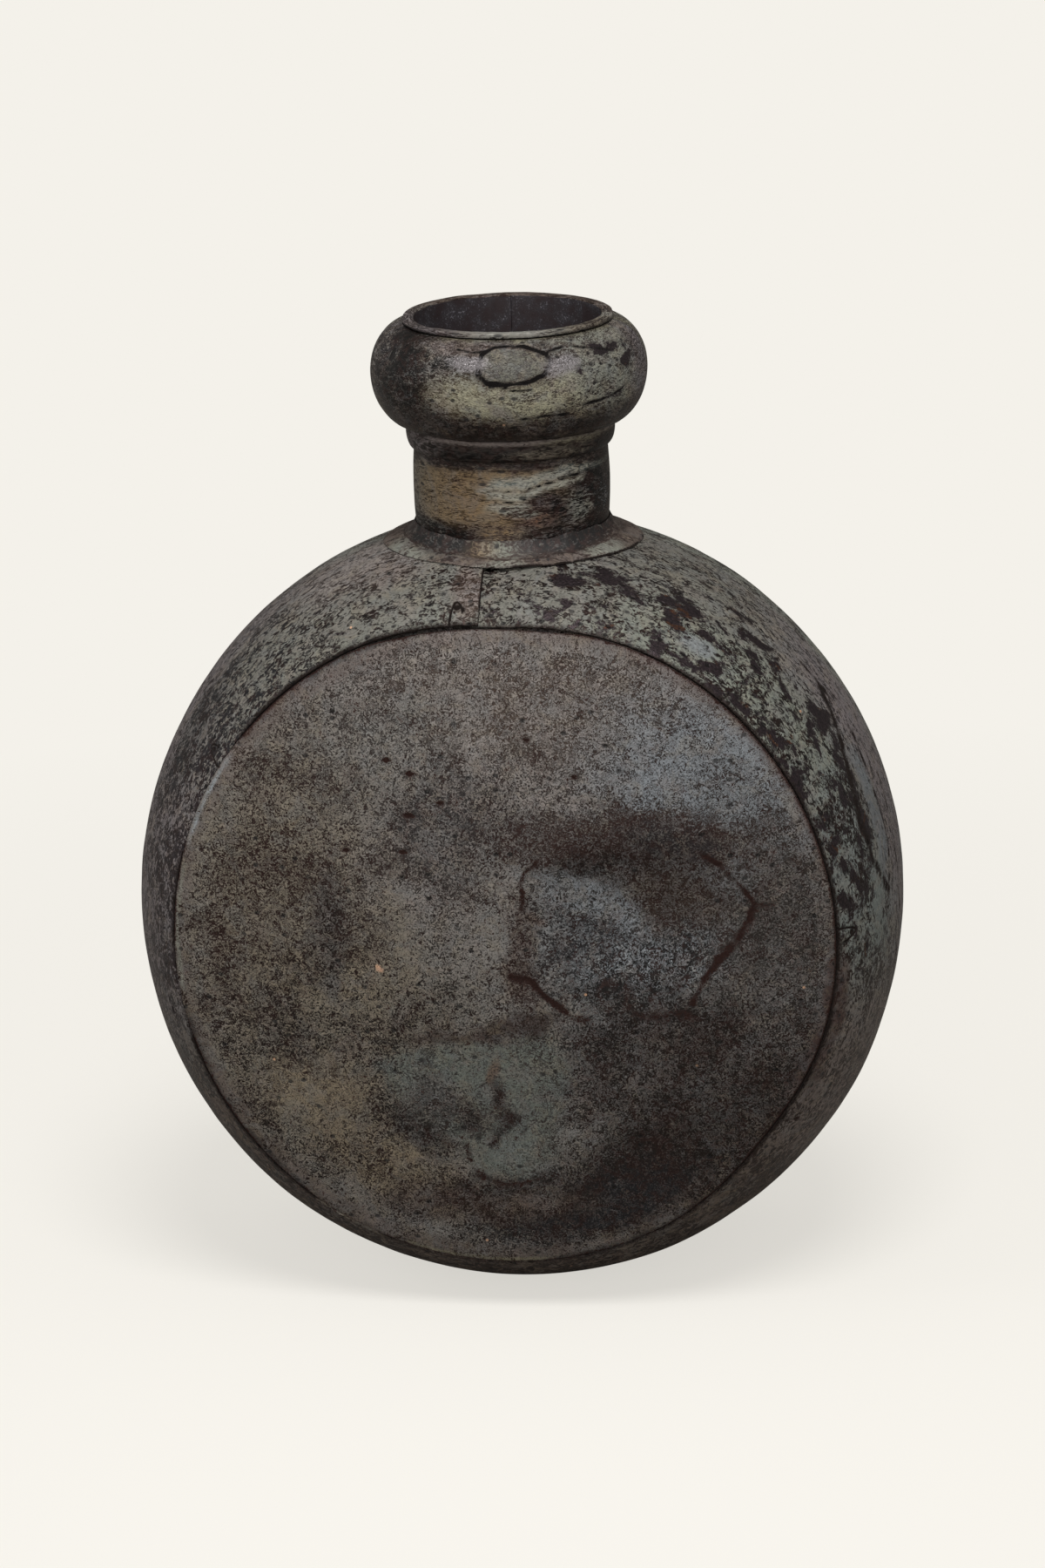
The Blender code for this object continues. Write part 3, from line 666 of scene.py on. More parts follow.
frontPlan = {                    # mm right of and above the disc's middle
    "wobble": 4.0, "pale": "greyPaint", "dark": "greyOxide", "cover": 0.66,
    "zones": (
        spot(0, 66, 100, 52, "pinkGrey", "paleOxide", 0.6, soft=0.6),
        spot(8, 98, 56, 20, "pinkGrey", "smoothBrown", 0.62),
        spot(-50, 74, 36, 22, "greyPaint", "paleOxide", 0.6, tilt=30),
        # painted reflection: a bluish sheen over the paint on the upper right of the dome
        spot(80, 60, 44, 36, "blueGrey", "paleOxide", 0.68, tilt=-35),
        spot(96, 44, 16, 34, "slate", "paleOxide", 0.7, share=0.6, tilt=20),
        spot(-86, 8, 38, 74, "tanPaint", "redOxide", 0.54),
        spot(-60, -50, 56, 44, "tanPaint", "darkOxide", 0.52),
        spot(-74, -58, 20, 13, "sand", "smoothBrown", 0.7),
        spot(-46, -86, 34, 12, "sand", "brownOxide", 0.6, tilt=-25),
        spot(-60, -8, 30, 14, "sand", "darkOxide", 0.56, share=0.5),
        spot(-14, 50, 24, 20, "dimGrey", "blueOxide", 0.5, share=0.6),
        spot(4, 12, 13, 46, "greyPaint", "redOxide", 0.68, share=0.8),
        spot(-66, 8, 7, 26, "dimGrey", "darkOxide", 0.46, share=0.8),
        spot(-40, 0, 10, 22, "tanPaint", "redOxide", 0.72, share=0.7),
        spot(30, -45, 40, 20, "dimGrey", "darkOxide", 0.55),
        # over, round and in the dent: the dark spots over it are partly painted shade of its upper wall, and
        # the blue-grey and frost spots in it partly a painted highlight of its left and lower wall
        spot(52, 44, 48, 13, "dimGrey", "redOxide", 0.28, share=0.9),
        spot(34, 36, 14, 6, "coal", "darkOxide", 0.3, share=0.9, tilt=10),
        spot(68, 45, 18, 7, "coal", "blueOxide", 0.4, share=0.7, tilt=-10),
        spot(50, 6, 38, 26, "slate", "blueOxide", 0.48),
        spot(66, 22, 24, 12, "dimGrey", "brownOxide", 0.44, tilt=-8),
        spot(36, 21, 25, 7, "blueGrey", "coal", 0.68, share=0.9, tilt=-28),
        spot(58, -4, 24, 10, "frost", "soot", 0.44, share=0.85, tilt=8),
        spot(78, 13, 7, 6, "dimGrey", "brownOxide", 0.4, share=0.7),
        spot(50, -16, 22, 6, "slate", "soot", 0.28, share=0.9),
        spot(64, -30, 28, 10, "slate", "soot", 0.24),
        spot(14.5, 16, 3, 2.4, "rust", "brownOxide", share=0.5),
        spot(8, 0, 6, 20, "smoothBrown", "redOxide", 0.45, share=0.8),
        spot(108, -4, 22, 48, "dimGrey", "greyOxide", 0.46),
        spot(78, -50, 46, 32, "dimGrey", "darkOxide", 0.42),
        spot(66, -86, 58, 24, "coal", "darkOxide", 0.3, tilt=25),
        spot(36, -104, 44, 14, "coal", "blueOxide", 0.2, tilt=12),
        spot(-8, -102, 40, 9, "smoothBrown", "brownOxide", 0.5),
        # the pale patch, speckled at the left and closed at the right
        spot(-32, -72, 14, 7, "coal", "darkOxide", 0.5, share=0.8, tilt=-40),
        spot(2, -95, 24, 5, "coal", "darkOxide", 0.4, share=0.8),
        patch(((-47, -46), (-39, -38), (-20, -35), (-5, -35), (8, -29), (16, -28), (23, -35), (24, -53),
              (22, -70), (16, -81), (9, -90), (-1, -92), (-11, -89), (-15, -80), (-24, -72), (-33, -70),
              (-38, -62), (-44, -54)), "patchGreen", "coal", 0.66, soft=4),
        spot(3, -68, 16, 22, "patchGreen", "dimGrey", 0.74, tilt=-12),
        spot(2, -46, 14, 12, "patchGreen", "dimGrey", 0.72, share=0.8),
        spot(2, -78, 10, 9, "blueGreen", "blueGreen", 0.9, share=0.6),
        spot(-26, -60, 12, 10, "dimGrey", "coal", 0.5, share=0.8),
        spot(3, -28.5, 19, 5.5, "brownOxide", "brownOxide", tilt=12),
        spot(-22, -33, 12, 4, "brownOxide", "brownOxide", share=0.8),
        spot(-3, -48, 2.2, 8, "rust", "brownOxide", share=0.6),
        spot(-0.5, -58, 2.6, 5, "coal", "darkOxide", 0.4, soft=0.9),
        spot(0.5, -66, 3, 4, "coal", "darkOxide", 0.35, soft=0.9),
        spot(-3, -73, 3, 4, "coal", "darkOxide", 0.4, soft=0.9, tilt=-30),
        spot(7.6, -71, 1, 1.8, "soot", "soot", share=0.8, soft=0.4),
        spot(-12, -66, 5, 5, "coal", "darkOxide", 0.45, soft=0.9),
        spot(-46, -5.3, 0.9, 1.1, "chip", "chip", 1.0, soft=0.3),
    ),
    "lines": (
        stroke(0.9, 0.75, (16, 39), (12, 35), (9, 28), (9, 19)),
        stroke(1.0, 0.95, (78, 40), (85, 35), (94, 24), (98, 19)),
        stroke(1.5, 1.0, (98, 19), (95, 12), (89, 5), (83, -2.5)),
        stroke(1.1, 0.85, (83, -2.5), (76.5, -11.5), (73, -19)),
        stroke(1.0, 0.85, (98, 19), (104, 18.5)),
        stroke(2.4, 0.6, (71, -23), (62, -25), (52, -24)),
        stroke(1.6, 0.9, (5, -8), (13, -10), (20, -18), (27.5, -23.5), (33, -25)),
        stroke(1.3, 0.55, (-15, -78), (-12, -91), (0, -95), (14, -92)),
    ),
}
frontLook = {                    # fine worm-like speckle, dull and stony, with reddish cracks
    "grainMm": 1.42, "twist": 1.5, "patchMm": 4.5, "patchShare": 0.32, "grainSoft": 0.23, "crumbShare": 0.35,
    "flakeMm": 14, "pitMm": 4.0, "pitShare": 0.06, "chipShare": 0.012, "lineRag": 1.15, "driftShare": 0.3,
    "bump": 1.2,
}
backPlan = {
    "wobble": 5.0, "pale": "greyPaint", "dark": "greyOxide", "cover": 0.56,
    "zones": (
        spot(20, 70, 90, 44, "pinkGrey", "greyOxide", 0.62),
        spot(70, 10, 50, 60, "tanPaint", "darkOxide", 0.55),
        spot(-70, 20, 44, 60, "blueGrey", "blueOxide", 0.58),
        spot(10, -30, 40, 30, "blueGreen", "coal", 0.72),
        spot(-40, -80, 60, 28, "coal", "darkOxide", 0.4),
        spot(50, -80, 46, 24, "tanPaint", "brownOxide", 0.5),
    ),
}
backLook = {**frontLook, "pitShare": 0.14}       # the same, a little more pitted
rimPlan = {                      # smooth brown margin inside the seam: width in mm and darkness by angle, the darkness a painted shade where the rim curves inward
    "soft": 2.6, "angles": (-90, -60, -45, -30, -10, 5, 30, 60, 90, 130, 160, 215, 250),
    "reaches": (7, 9, 12, 9, 3.4, 2.6, 3.4, 4.5, 8, 8, 4, 8, 8),
    "darks": (0.3, 0.5, 0.9, 1.0, 0.9, 0.6, 0.6, 0.35, 0.15, 0.35, 0.35, 0.3, 0.3),
}


def brownMargin(fields, skin, angle, radius):
    fromSeam = insideSeam(angle, radius) + 1.6 * ripple(skin, 14, 4, 50)
    reach = roundShare(angle, rimPlan["angles"], rimPlan["reaches"])[:, None]
    margin = 0.75 * (1 - ease((fromSeam - reach + rimPlan["soft"]) / (2 * rimPlan["soft"])))
    upper = ease((np.sin(angle) + 0.35) / 0.9)[:, None, None]
    shade = roundShare(angle, rimPlan["angles"], rimPlan["darks"])[:, None, None]
    for key, low, high in (("pale", "smoothBrown", "pinkBrown"), ("dark", "brownOxide", "smoothBrown")):
        colour = linearColour(low) + upper * (linearColour(high) - linearColour(low))
        colour = colour + shade * (linearColour("darkOxide") - colour)
        fields[key] += margin[..., None] * (colour - fields[key])
    fields["cover"] += margin * (0.84 - 0.42 * shade[..., 0] - fields["cover"])


def lapRoom(angle):
    away = apart(angle, jointAngle)
    before = ease((away + landAngle + 2 * joggleAngle) / joggleAngle)
    after = ease((lapAngle + 2 * joggleAngle - away) / joggleAngle)
    return layer * np.minimum(before, after)


def bendPlace(angle, depth):
    tilt = seamTilt(angle)
    last = turn / 4 - math.atan(2 * disc["dome"] / hoop["seamRadius"])
    radius = seamRadiusAt(angle) - (depth + disc["bend"]) * np.cos(tilt)
    out = hoop["halfWidth"] - (depth + disc["bend"]) * np.sin(tilt)
    return radius, out, tilt, last


def discSkin(angle, depth, rings):
    # radius and distance out of one skin, from the middle to the end of its rim
    room = layer + lapRoom(angle)
    centreRadius, centreOut, tilt, last = bendPlace(angle, room)
    bend = disc["bend"] - depth
    edgeRadius = centreRadius + bend * math.cos(last)
    edgeOut = centreOut + bend * math.sin(last)
    domeOut = hoop["halfWidth"] - (layer + disc["bend"]) * np.sin(tilt) + bend * math.sin(last)
    flat = []
    for share in np.linspace(0, 1, rings + 1):
        out = domeOut + (edgeOut - domeOut) * share ** disc["settle"]
        flat.append((edgeRadius * share, out + disc["dome"] * (1 - share * share)))
    for step in np.linspace(0, 1, 7)[1:]:
        way = last + (tilt - last) * step
        flat.append((centreRadius + bend * np.cos(way), centreOut + bend * np.sin(way)))
    for share in (0.5, 1):
        across = 1 - share * disc["flange"] * np.cos(tilt) / hoop["halfWidth"]
        flat.append(barrelProfile(angle, across, room + depth))
    return np.stack([np.stack(pair, -1) for pair in flat], 1)


def dentDepth(place):
    # place is in mm from the disc's middle
    reach = sum(((place[..., k] - dent["at"][k]) * 2 / dent["size"][k]) ** 2 for k in (0, 1))
    bowl = dent["depth"] * np.clip(1 - reach, 0, 1) ** 2
    loose = place + 1.2 * np.stack([ripple(place, 12, 3, 21), ripple(place, 12, 3, 22)], -1)
    return bowl + dent["crease"] * ease(-outlineDistance(loose, dent["outline"]) / 9 + 0.12)


def struckNicks(place):
    # short struck nicks: 0 to 1
    x, height = place[..., 0], place[..., 1]
    marks = [np.exp(-((x - nx) / along) ** 2 - ((height - nz) / dent["nickHigh"]) ** 2)
             for nx, nz, along in dent["nicks"]]
    return np.maximum.reduce(marks)


def makeDisc(name, side, plan, look, node):
    angle = roundAngles(disc["steps"])
    outer = discSkin(angle, 0, disc["rings"])
    inner = discSkin(angle, hoop["sheet"], disc["backRings"])[:, ::-1]
    flat = np.concatenate([outer, inner], 1)
    radius, out = flat[..., 0], flat[..., 1]
    loops = hoopPlace(angle[:, None], radius, 0 * out)
    skin = np.stack([loops[..., 0] / mm, (loops[..., 2] - hoopCentre) / mm], -1)
    beaten = disc["swellDepth"] * ripple(loops[..., [0, 2]], disc["swellSize"], 2, 30 + side)
    beaten += disc["beatDepth"] * ripple(loops[..., [0, 2]], disc["beatSize"], 2, 33 + side)
    out = out + ease((1.0 - radius / radius.max()) / 0.12) * beaten
    fields = paintPlan(skin, plan, 40 + side)
    brownMargin(fields, skin, angle, radius)
    if side < 0:
        nicks = struckNicks(skin)
        out = out - dentDepth(skin) - dent["nickDepth"] * nicks
        streakRim(fields, angle[:, None] + 0 * out, insideSeam(angle, radius), skin)
        fields["line"] = np.maximum(fields["line"], 1.5 * nicks)
    loops[..., 1] = side * out
    piece = sweptPiece(name, loops, skin, fields, wornIron(name + "Iron", look), poled=True)
    stands(piece, node)


makeDisc("frontDisc", -1, frontPlan, frontLook, "front_disc")
makeDisc("backDisc", 1, backPlan, backLook, "back_disc")

# Brazed seams

seam = {                         # sink in mm below the band's edge, at the angles of the crevice
    "reach": 0.0035, "edge": 0.00003, "lift": 0.00006, "lumps": 0.12 * mm, "steps": 600,
    "sinks": (0.3, 0.35, 0.55, 0.6, 0.4, 0.5, 0.5, 0.4, 0.35, 0.5, 0.4, -0.3, -0.3, 0.2, 0.25, 0.0, 0.35,
              0.25, 0.3),
}


def makeSeam(name, side, plan, look, node):
    angle = roundAngles(seam["steps"])
    centreRadius, centreOut, tilt, last = bendPlace(angle, layer + lapRoom(angle))
    ways = [last + (tilt + 2 * hoop["gap"] / disc["bend"] - last) * s for s in np.linspace(0, 1, 7)]
    away = [stacked(np.cos(way), np.sin(way) + 0 * tilt) for way in ways]
    centre = np.stack([centreRadius, centreOut], -1)
    bed = [centre + direction * (disc["bend"] + seam["lift"]) for direction in away]
    along = np.array([-math.sin(last), math.cos(last)])
    bed = [bed[0] + along * seam["reach"] * s for s in (1, 0.5)] + bed
    away = [away[0], away[0]] + away
    lumps = ripple(hoopPlace(angle, 0.128, 0), 0.012, 3, 60 + side)
    shares = np.linspace(0, 1, len(bed))
    sink = roundShare(angle, crevice["angles"], seam["sinks"]) * mm
    full = hoop["sheet"] - seam["lift"] - sink - seam["edge"] + seam["lumps"] * lumps
    tops = [b + a * (seam["edge"] + full * s * s)[:, None] for s, b, a in zip(shares, bed, away)]
    flat = np.stack(bed + tops[::-1], 1)
    radius = flat[..., 0]
    loops = hoopPlace(angle[:, None], radius, side * flat[..., 1])
    # painted over together with the disc
    skin = np.stack([loops[..., 0], loops[..., 2] - hoopCentre], -1) / mm
    fields = paintPlan(skin, plan, 40 + side)
    brownMargin(fields, skin, angle, radius)
    fromEdge = np.concatenate([1 - shares, (1 - shares)[::-1]])
    # dark edge of the filler in the seam, partly painted shade of the groove
    dark = roundShare(angle, crevice["angles"], crevice["darks"]) * (1 + 0.35 * lumps)
    fields["line"] = np.maximum(fields["line"], dark[:, None] * np.exp(-(fromEdge / 0.12) ** 2)[None, :])
    if side < 0:
        streakRim(fields, angle[:, None] + 0 * radius, insideSeam(angle, radius), skin)
    # the same paint as on the disc, smoother over the filler
    piece = sweptPiece(name, loops, skin, fields, wornIron(name + "Filler", {**look, "bump": 0.5}))
    stands(piece, node)


makeSeam("frontSeam", -1, frontPlan, frontLook, "front_seam_braze")
makeSeam("backSeam", 1, backPlan, backLook, "back_seam_braze")

# Neck: saddle plate, rolled tube, filler at its foot

neck = {
    "radius": 0.0374, "swell": 0.0006, "tuck": 0.004, "clear": 0.0302, "lap": 0.009, "lapTurn": 0.262,
    "lapFlat": 0.6, "lipHeight": 0.0024, "lipOverhang": 0.0031, "lipRound": 0.0006, "steps": 240,
    "ringHeight": 0.0086, "ringThickness": 0.0027, "collarHeight": 0.0390,
    "saddleWidth": 0.1026, "saddleLength": 0.0926, "fillerReach": 0.0050, "fillerRise": 0.0040,
    "fillerClear": 0.0004, "lapSteps": (0.2, 0.5, 0.62, 0.7, 0.8, 0.9), "radiusMm": 37.4,
    "lipDip": 0.55 * mm, "lipDipAt": 205, "lipWave": 0.25 * mm, "lipSwell": 0.35 * mm, "tubeWave": 0.12 * mm,
    "plateWave": 0.0006, "plateThin": 0.45, "plateEdge": 0.42 * mm, "fillerWave": 0.2,
    "edgeAngles": (0, 20, 90, 200, 255, 268, 280, 300, 335, 352),       # how dark the saddle's edge is
    "edgeDarks": (0.6, 0.3, 0.3, 0.1, 0.1, 0.7, 1, 1.1, 1, 0.8),
}
ringBottom = crown + neck["clear"]
ringTop = ringBottom + neck["ringHeight"]
collarBottom = ringTop + hoop["gap"]
collarTop = collarBottom + neck["collarHeight"]
lipBottom = collarTop + hoop["gap"]
lipTop = lipBottom + neck["lipHeight"]
lipCurve = np.linspace(0, turn / 4, 4)
neckPlan = {                     # turn in degrees, height in mm above the band's crown
    "unit": (math.radians(1) * neck["radiusMm"], 1), "wobble": 2.2,
    "pale": "ochre", "dark": "rubbedOchre", "cover": 0.68,
    "zones": (
        # painted shade down the neck's left side
        spot(190, 15, 24, 32, "plumGrey", "plumIron", 0.7, share=0.6),
        spot(234, 18, 24, 13, "ochre", "rubbedOchre", 0.8),
        spot(262, 22, 16, 10, "ochre", "rubbedOchre", 0.8),
        spot(340, 16, 20, 24, "dimGrey", "soot", 0.14),
        spot(326, 24, 13, 7, "brownOxide", "soot", 0.25),
        spot(318, 8, 9, 7, "flakeGreen", "soot", 0.6),
        spot(345, 10, 6, 12, "slate", "soot", 0.36),
        spot(298, 9, 10, 9, "redOxide", "soot", 0.4, tilt=-50),
        spot(284, 8, 10, 4, "rust", "brownOxide", 0.45),
        spot(262, 6, 12, 4, "ochre", "rubbedOchre", 0.6),
        patch(((255, 18.6), (266, 22.5), (285, 25), (305, 27), (335, 29), (356, 30.5), (356, 26),
              (330, 24.6), (306, 22.3), (285, 20)), "cream", "blueGreen", 0.66, soft=1.6),
        patch(((260, 18.6), (285, 19), (306, 21), (322, 22.5), (322, 20.6), (300, 17.4), (284, 15.4),
              (262, 15.4)), "cream", "tanPaint", 0.7, soft=1.3),
        spot(276, 12.6, 8, 2, "cream", "brownOxide", 0.55, tilt=4),
        spot(286, 10, 6, 1.4, "flakeGreen", "brownOxide", 0.5, tilt=4),
        spot(180, 0, 400, 5.4, "footBrown", "brownOxide", 0.4, soft=0.6),
        # painted shade in the corner at the neck's foot, on the left
        spot(222, 1, 22, 5, "coal", "soot", 0.2),
        spot(270, 2, 9, 3.4, "ochre", "smoothBrown", 0.5),
        # painted shade in the corner at the neck's foot, on the right
        spot(318, 0.5, 24, 3, "coal", "soot", 0.2),
        spot(90, 15, 70, 34, "greenGrey", "darkOxide", 0.55, bare=0.3),
        spot(180, 29, 400, 2.4, "brownOxide", "darkOxide", 0.4, soft=0.6),
        spot(180, 84, 400, 6, "lipGrey", "paleOxide", 0.82, soft=0.2),
        spot(90, 84, 76, 8, "smoothBrown", "brownOxide", 0.5),
        spot(210, 84, 28, 8, "plumGrey", "plumIron", 0.45),
        spot(330, 84, 16, 8, "tanPaint", "brownOxide", 0.5),
    ),
    "lines": (
        stroke(0.3, 0.8, (262, 18.8), (285, 19.6), (306, 21.8), (335, 24.8)),
        stroke(0.26, 0.7, (256, 15.4), (276, 15), (292, 16.4)),
    ),
}
neckLook = {                     # ochre wash rubbed round the tube in long thin streaks
    "grainMm": 0.8, "stretch": 3.6, "grainSoft": 0.32, "patchMm": 2.4, "patchStretch": 5, "patchShare": 0.5,
    "flakeMm": 5, "flakeStretch": 3, "pitMm": 3.5, "pitStretch": 2.2, "pitShare": 0.08, "chipShare": 0.0,
    "bump": 0.6, "lineIron": "soot", "driftShare": 0.25,
}
boreLook = {
    "iron": "#383437", "ruddy": "#33292A", "speck": "#77747A", "speckMm": 0.7, "share": 0.5,
    "first": 0.88, "full": 1.06,
}
saddlePlan = {                   # x and y of the plate in mm
    "wobble": 2.5, "pale": "saddleBrown", "dark": "brownOxide", "cover": 0.6,
    "zones": (
        spot(-36, -26, 22, 12, "flakeGreen", "smoothBrown", 0.84, tilt=30),
        spot(38, -24, 20, 10, "flakeGreen", "smoothBrown", 0.8, tilt=-35),
        spot(8, -46, 10, 3, "flakeGreen", "brownOxide", 0.66),
        spot(-8, -46, 12, 2.4, "flakeGreen", "brownOxide", 0.5),
        spot(18, -43, 9, 4, "smoothBrown", "smoothBrown", 0.6),
        spot(-10, -42, 8, 4, "smoothBrown", "smoothBrown", 0.6),
        spot(0, 0, 43, 43, "footBrown", "brownOxide", 0.4, soft=0.1),
        # painted shade at the left and right of the neck's foot
        spot(-26, -29, 15, 4, "coal", "soot", 0.3, share=0.7, tilt=-45),
        spot(24, -31, 14, 3.6, "coal", "soot", 0.3, share=0.7, tilt=40),
        spot(1, -41, 5, 4, "flakeGreen", "smoothBrown", 0.62, soft=0.8),
        spot(-5, -40, 4, 3, "ochre", "smoothBrown", 0.6, share=0.6, soft=0.8),
        spot(10, 44, 30, 10, "greyPaint", "brownOxide", 0.6),
    ),
}
saddleLook = {                   # brown worn plate with a soft film of paint; the filler looks the same
    "grainMm": 1.5, "stretch": 1.8, "grainSoft": 0.26, "patchMm": 6, "flakeMm": 9, "pitMm": 3.5,
    "pitShare": 0.1, "chipShare": 0.0, "bump": 0.4, "lineIron": "darkOxide", "driftShare": 0.2,
    "ironMetal": 0.3, "ironRough": 0.6,
}
fillerPlan = {                   # turn in degrees, mm out from the neck along the fillet
    "unit": (math.radians(1) * 40, 1), "wobble": 1.6, "pale": "footBrown", "dark": "brownOxide", "cover": 0.4,
    "zones": (
        # painted shade in the corner along the neck's foot, darkest at the left and right
        spot(180, 0, 400, 2.6, "brownOxide", "darkOxide", 0.35, soft=0.7),
        spot(224, 1, 24, 6, "coal", "soot", 0.25),
        spot(312, 1, 24, 5, "coal", "soot", 0.25),
        spot(268, 3, 6, 4, "greenGrey", "footBrown", 0.6, soft=0.8),
        spot(259, 3, 6, 4, "ochre", "rubbedOchre", 0.6, share=0.6, soft=0.8),
    ),
}


def boreIron(name):
    # Rolled sheet inside the neck: never painted, sooty dark iron with pale crumbs of scale, so the
    # bore reads as a dull dark hollow with tiny bright points.
    material, tree = emptyMaterial(name)
    maths, ranged, _, mixed, scaled = nodeTools(tree)
    skin = put(tree, "Attribute", attribute_name="skin")["Vector"]
    line = put(tree, "Attribute", attribute_name="line")["Fac"]
    placed = scaled(skin, 1 / boreLook["speckMm"])
    crumbs = put(tree, "TexNoise", {"Vector": placed, "Scale": 1.0, "Detail": 3.0, "Distortion": 0.8},
                 noise_dimensions="2D")[0]
    cloud = put(tree, "TexNoise", {"Vector": placed, "Scale": 0.1, "Detail": 4.0}, noise_dimensions="2D")[0]
    often = maths("MULTIPLY_ADD", cloud, boreLook["share"], crumbs)
    tint = mixed(ranged(cloud, 0.35, 0.65), boreLook["ruddy"], boreLook["iron"])
    tint = mixed(ranged(often, boreLook["first"], boreLook["full"]), tint, boreLook["speck"])
    tint = mixed(line, tint, "redOxide")
    relief = put(tree, "Bump", {"Strength": 0.6, "Distance": 0.2 * mm, "Height": crumbs})[0]
    surface = put(tree, "BsdfPrincipled", {"Base Color": tint, "Roughness": 0.6, "Metallic": 0.4,
                                           "Normal": relief})[0]
    put(tree, "OutputMaterial", {"Surface": surface})
    return material


def roundNeck(around, radius, height):
    return stacked(radius * np.cos(around), radius * np.sin(around), height)


def neckSkinRadius(height):
    share = (height - crown) / neck["clear"]
    return neck["radius"] + np.where((share < 0) | (share > 1), 0, neck["swell"] * (1 - (2 * share - 1) ** 2))


def makeNeck():
    edge = turn * neck["lapTurn"]
    around = np.sort(np.concatenate([
        edge + roundAngles(neck["steps"]),
        edge + np.array(neck["lapSteps"]) * neck["lap"] / neck["radius"],
        [edge + turn - hoop["gap"] / neck["radius"]]]))
    bottom = float(skinHeight(neck["radius"], 0.0)) - layer - neck["tuck"]
    up = np.concatenate([[bottom], np.linspace(crown - neck["tuck"], ringBottom + 0.001, 44), [lipBottom]])
    down = np.concatenate([np.linspace(lipTop - 0.001, crown, 42), [bottom]])
    # the lip: under its overhang, over its top and into the bore
    lipRadius, inside = neck["radius"] + neck["lipOverhang"], neck["radius"] - hoop["sheet"]
    r = neck["lipRound"]
    lip = [(lipRadius - r + r * math.sin(a), lipBottom + r - r * math.cos(a)) for a in lipCurve]
    lip += [(lipRadius - r + r * math.cos(a), lipTop - r + r * math.sin(a)) for a in lipCurve]
    lip += [(inside + r - r * math.sin(a), lipTop - r + r * math.cos(a)) for a in lipCurve]
    radii = [*neckSkinRadius(up), *(place[0] for place in lip), *(neckSkinRadius(down) - hoop["sheet"])]
    heights = [*up, *(place[1] for place in lip), *down]
    radius = np.tile(radii, (len(around), 1))
    height = np.tile(heights, (len(around), 1))
    inner = (np.arange(len(heights)) >= len(up) + len(lip) - 1)[None, :]
    fromEdge = (around / turn - neck["lapTurn"]) % 1 * turn * neck["radius"] / neck["lap"]
    step = np.where(fromEdge < 1, 1 - ease((fromEdge - neck["lapFlat"]) / (1 - neck["lapFlat"])), 0)
    radius -= inner * hoop["sheet"] * step[:, None]
    wave = ripple(roundNeck(around[:, None], radius, height), 0.012, 2, 70)
    # the hammered lip: it dips and thickens on the left, and is uneven all round
    onLip = ease((height - lipBottom) / 0.001)
    left = np.exp(-(apart(around, math.radians(neck["lipDipAt"])) / 0.5) ** 2)[:, None]
    sunk = neck["lipDip"] * left + neck["lipWave"] * (1 + wave)
    height = height - onLip * sunk * (height > lipBottom + 0.0005)
    radius = radius + onLip * ~inner * neck["lipSwell"] * wave
    radius = radius + neck["tubeWave"] * wave * (height < ringBottom)
    loops = roundNeck(around[:, None], radius, height)
    faced = (around % turn)[:, None]
    along = np.concatenate([[0], np.cumsum(np.hypot(np.diff(radii), np.diff(heights)))]) / mm
    along += (heights[0] - crown) / mm
    skin = stacked(faced * neck["radiusMm"], along[None, :])
    fields = paintPlan(skin, neckPlan, 72)
    underLip = np.exp(-((height - lipBottom) / (0.5 * mm)) ** 2) * ~inner
    fromLap = (faced - math.degrees(edge)) * neck["radiusMm"] * math.radians(1)
    lapLine = np.exp(-(fromLap / 0.9) ** 2) * inner
    fields["line"] = np.maximum.reduce([fields["line"], 0.9 * underLip, lapLine])
    piece = sweptPiece("neckTube", loops, skin, fields, wornIron("rolledNeckIron", neckLook), sharp=40)
    piece.data.materials.append(boreIron("boreIron"))
    for face in piece.data.polygons:
        if all(inner[0, k % len(heights)] for k in face.vertices):
            face.material_index = 1
    stands(piece, "neck_tube")


def saddleTop(x, y):
    # hammered upper side of the plate, without the thinning at its edge
    low = skinHeight(x, y) + hoop["gap"]
    return low, low + hoop["sheet"] + 0.1 * mm * ripple(np.stack([x, y, low], -1), 0.012, 2, 76)


def makeSaddle():
    around = roundAngles(neck["steps"])
    inner = neck["radius"] + neck["swell"] + hoop["gap"]
    shares = np.concatenate([np.linspace(0, 0.94, 22), [0.97, 1.0]])
    oval = 0.5 / np.hypot(np.cos(around) / neck["saddleWidth"], np.sin(around) / neck["saddleLength"])
    wave = ripple(roundNeck(around, 0.052, 0.0), 0.016, 3, 75)
    outerEdge = oval - neck["plateWave"] + neck["plateWave"] * wave
    radius = inner + (outerEdge[:, None] - inner) * shares[None, :]
    x, y = radius * np.cos(around[:, None]), radius * np.sin(around[:, None])
    low, top = saddleTop(x, y)
    # hammered thin towards its edge
    thinned = neck["plateThin"] * hoop["sheet"] * ease((shares - 0.6) / 0.4)
    thinned += neck["plateEdge"] * ease((shares - 0.93) / 0.07)
    top = top - thinned[None, :]
    loops = np.concatenate([np.stack([x, y, low], -1)[:, ::3], np.stack([x, y, top], -1)[:, ::-1]], 1)
    skin = loops[..., :2] / mm
    fields = paintPlan(skin, saddlePlan, 77)
    reach = np.hypot(skin[..., 0], skin[..., 1])
    seen = roundShare(around, neck["edgeAngles"], neck["edgeDarks"])
    seen = seen * (1 + 0.8 * ripple(roundNeck(around, 0.05, 0.0), 0.005, 3, 74))
    rim = seen[:, None] * np.exp(-((reach - outerEdge[:, None] / mm) / 0.6) ** 2)
    fields["line"] = np.maximum(fields["line"], rim)
    piece = sweptPiece("neckSaddle", loops, skin, fields, wornIron("saddlePlateIron", saddleLook), sharp=60)
    stands(piece, "neck_saddle")


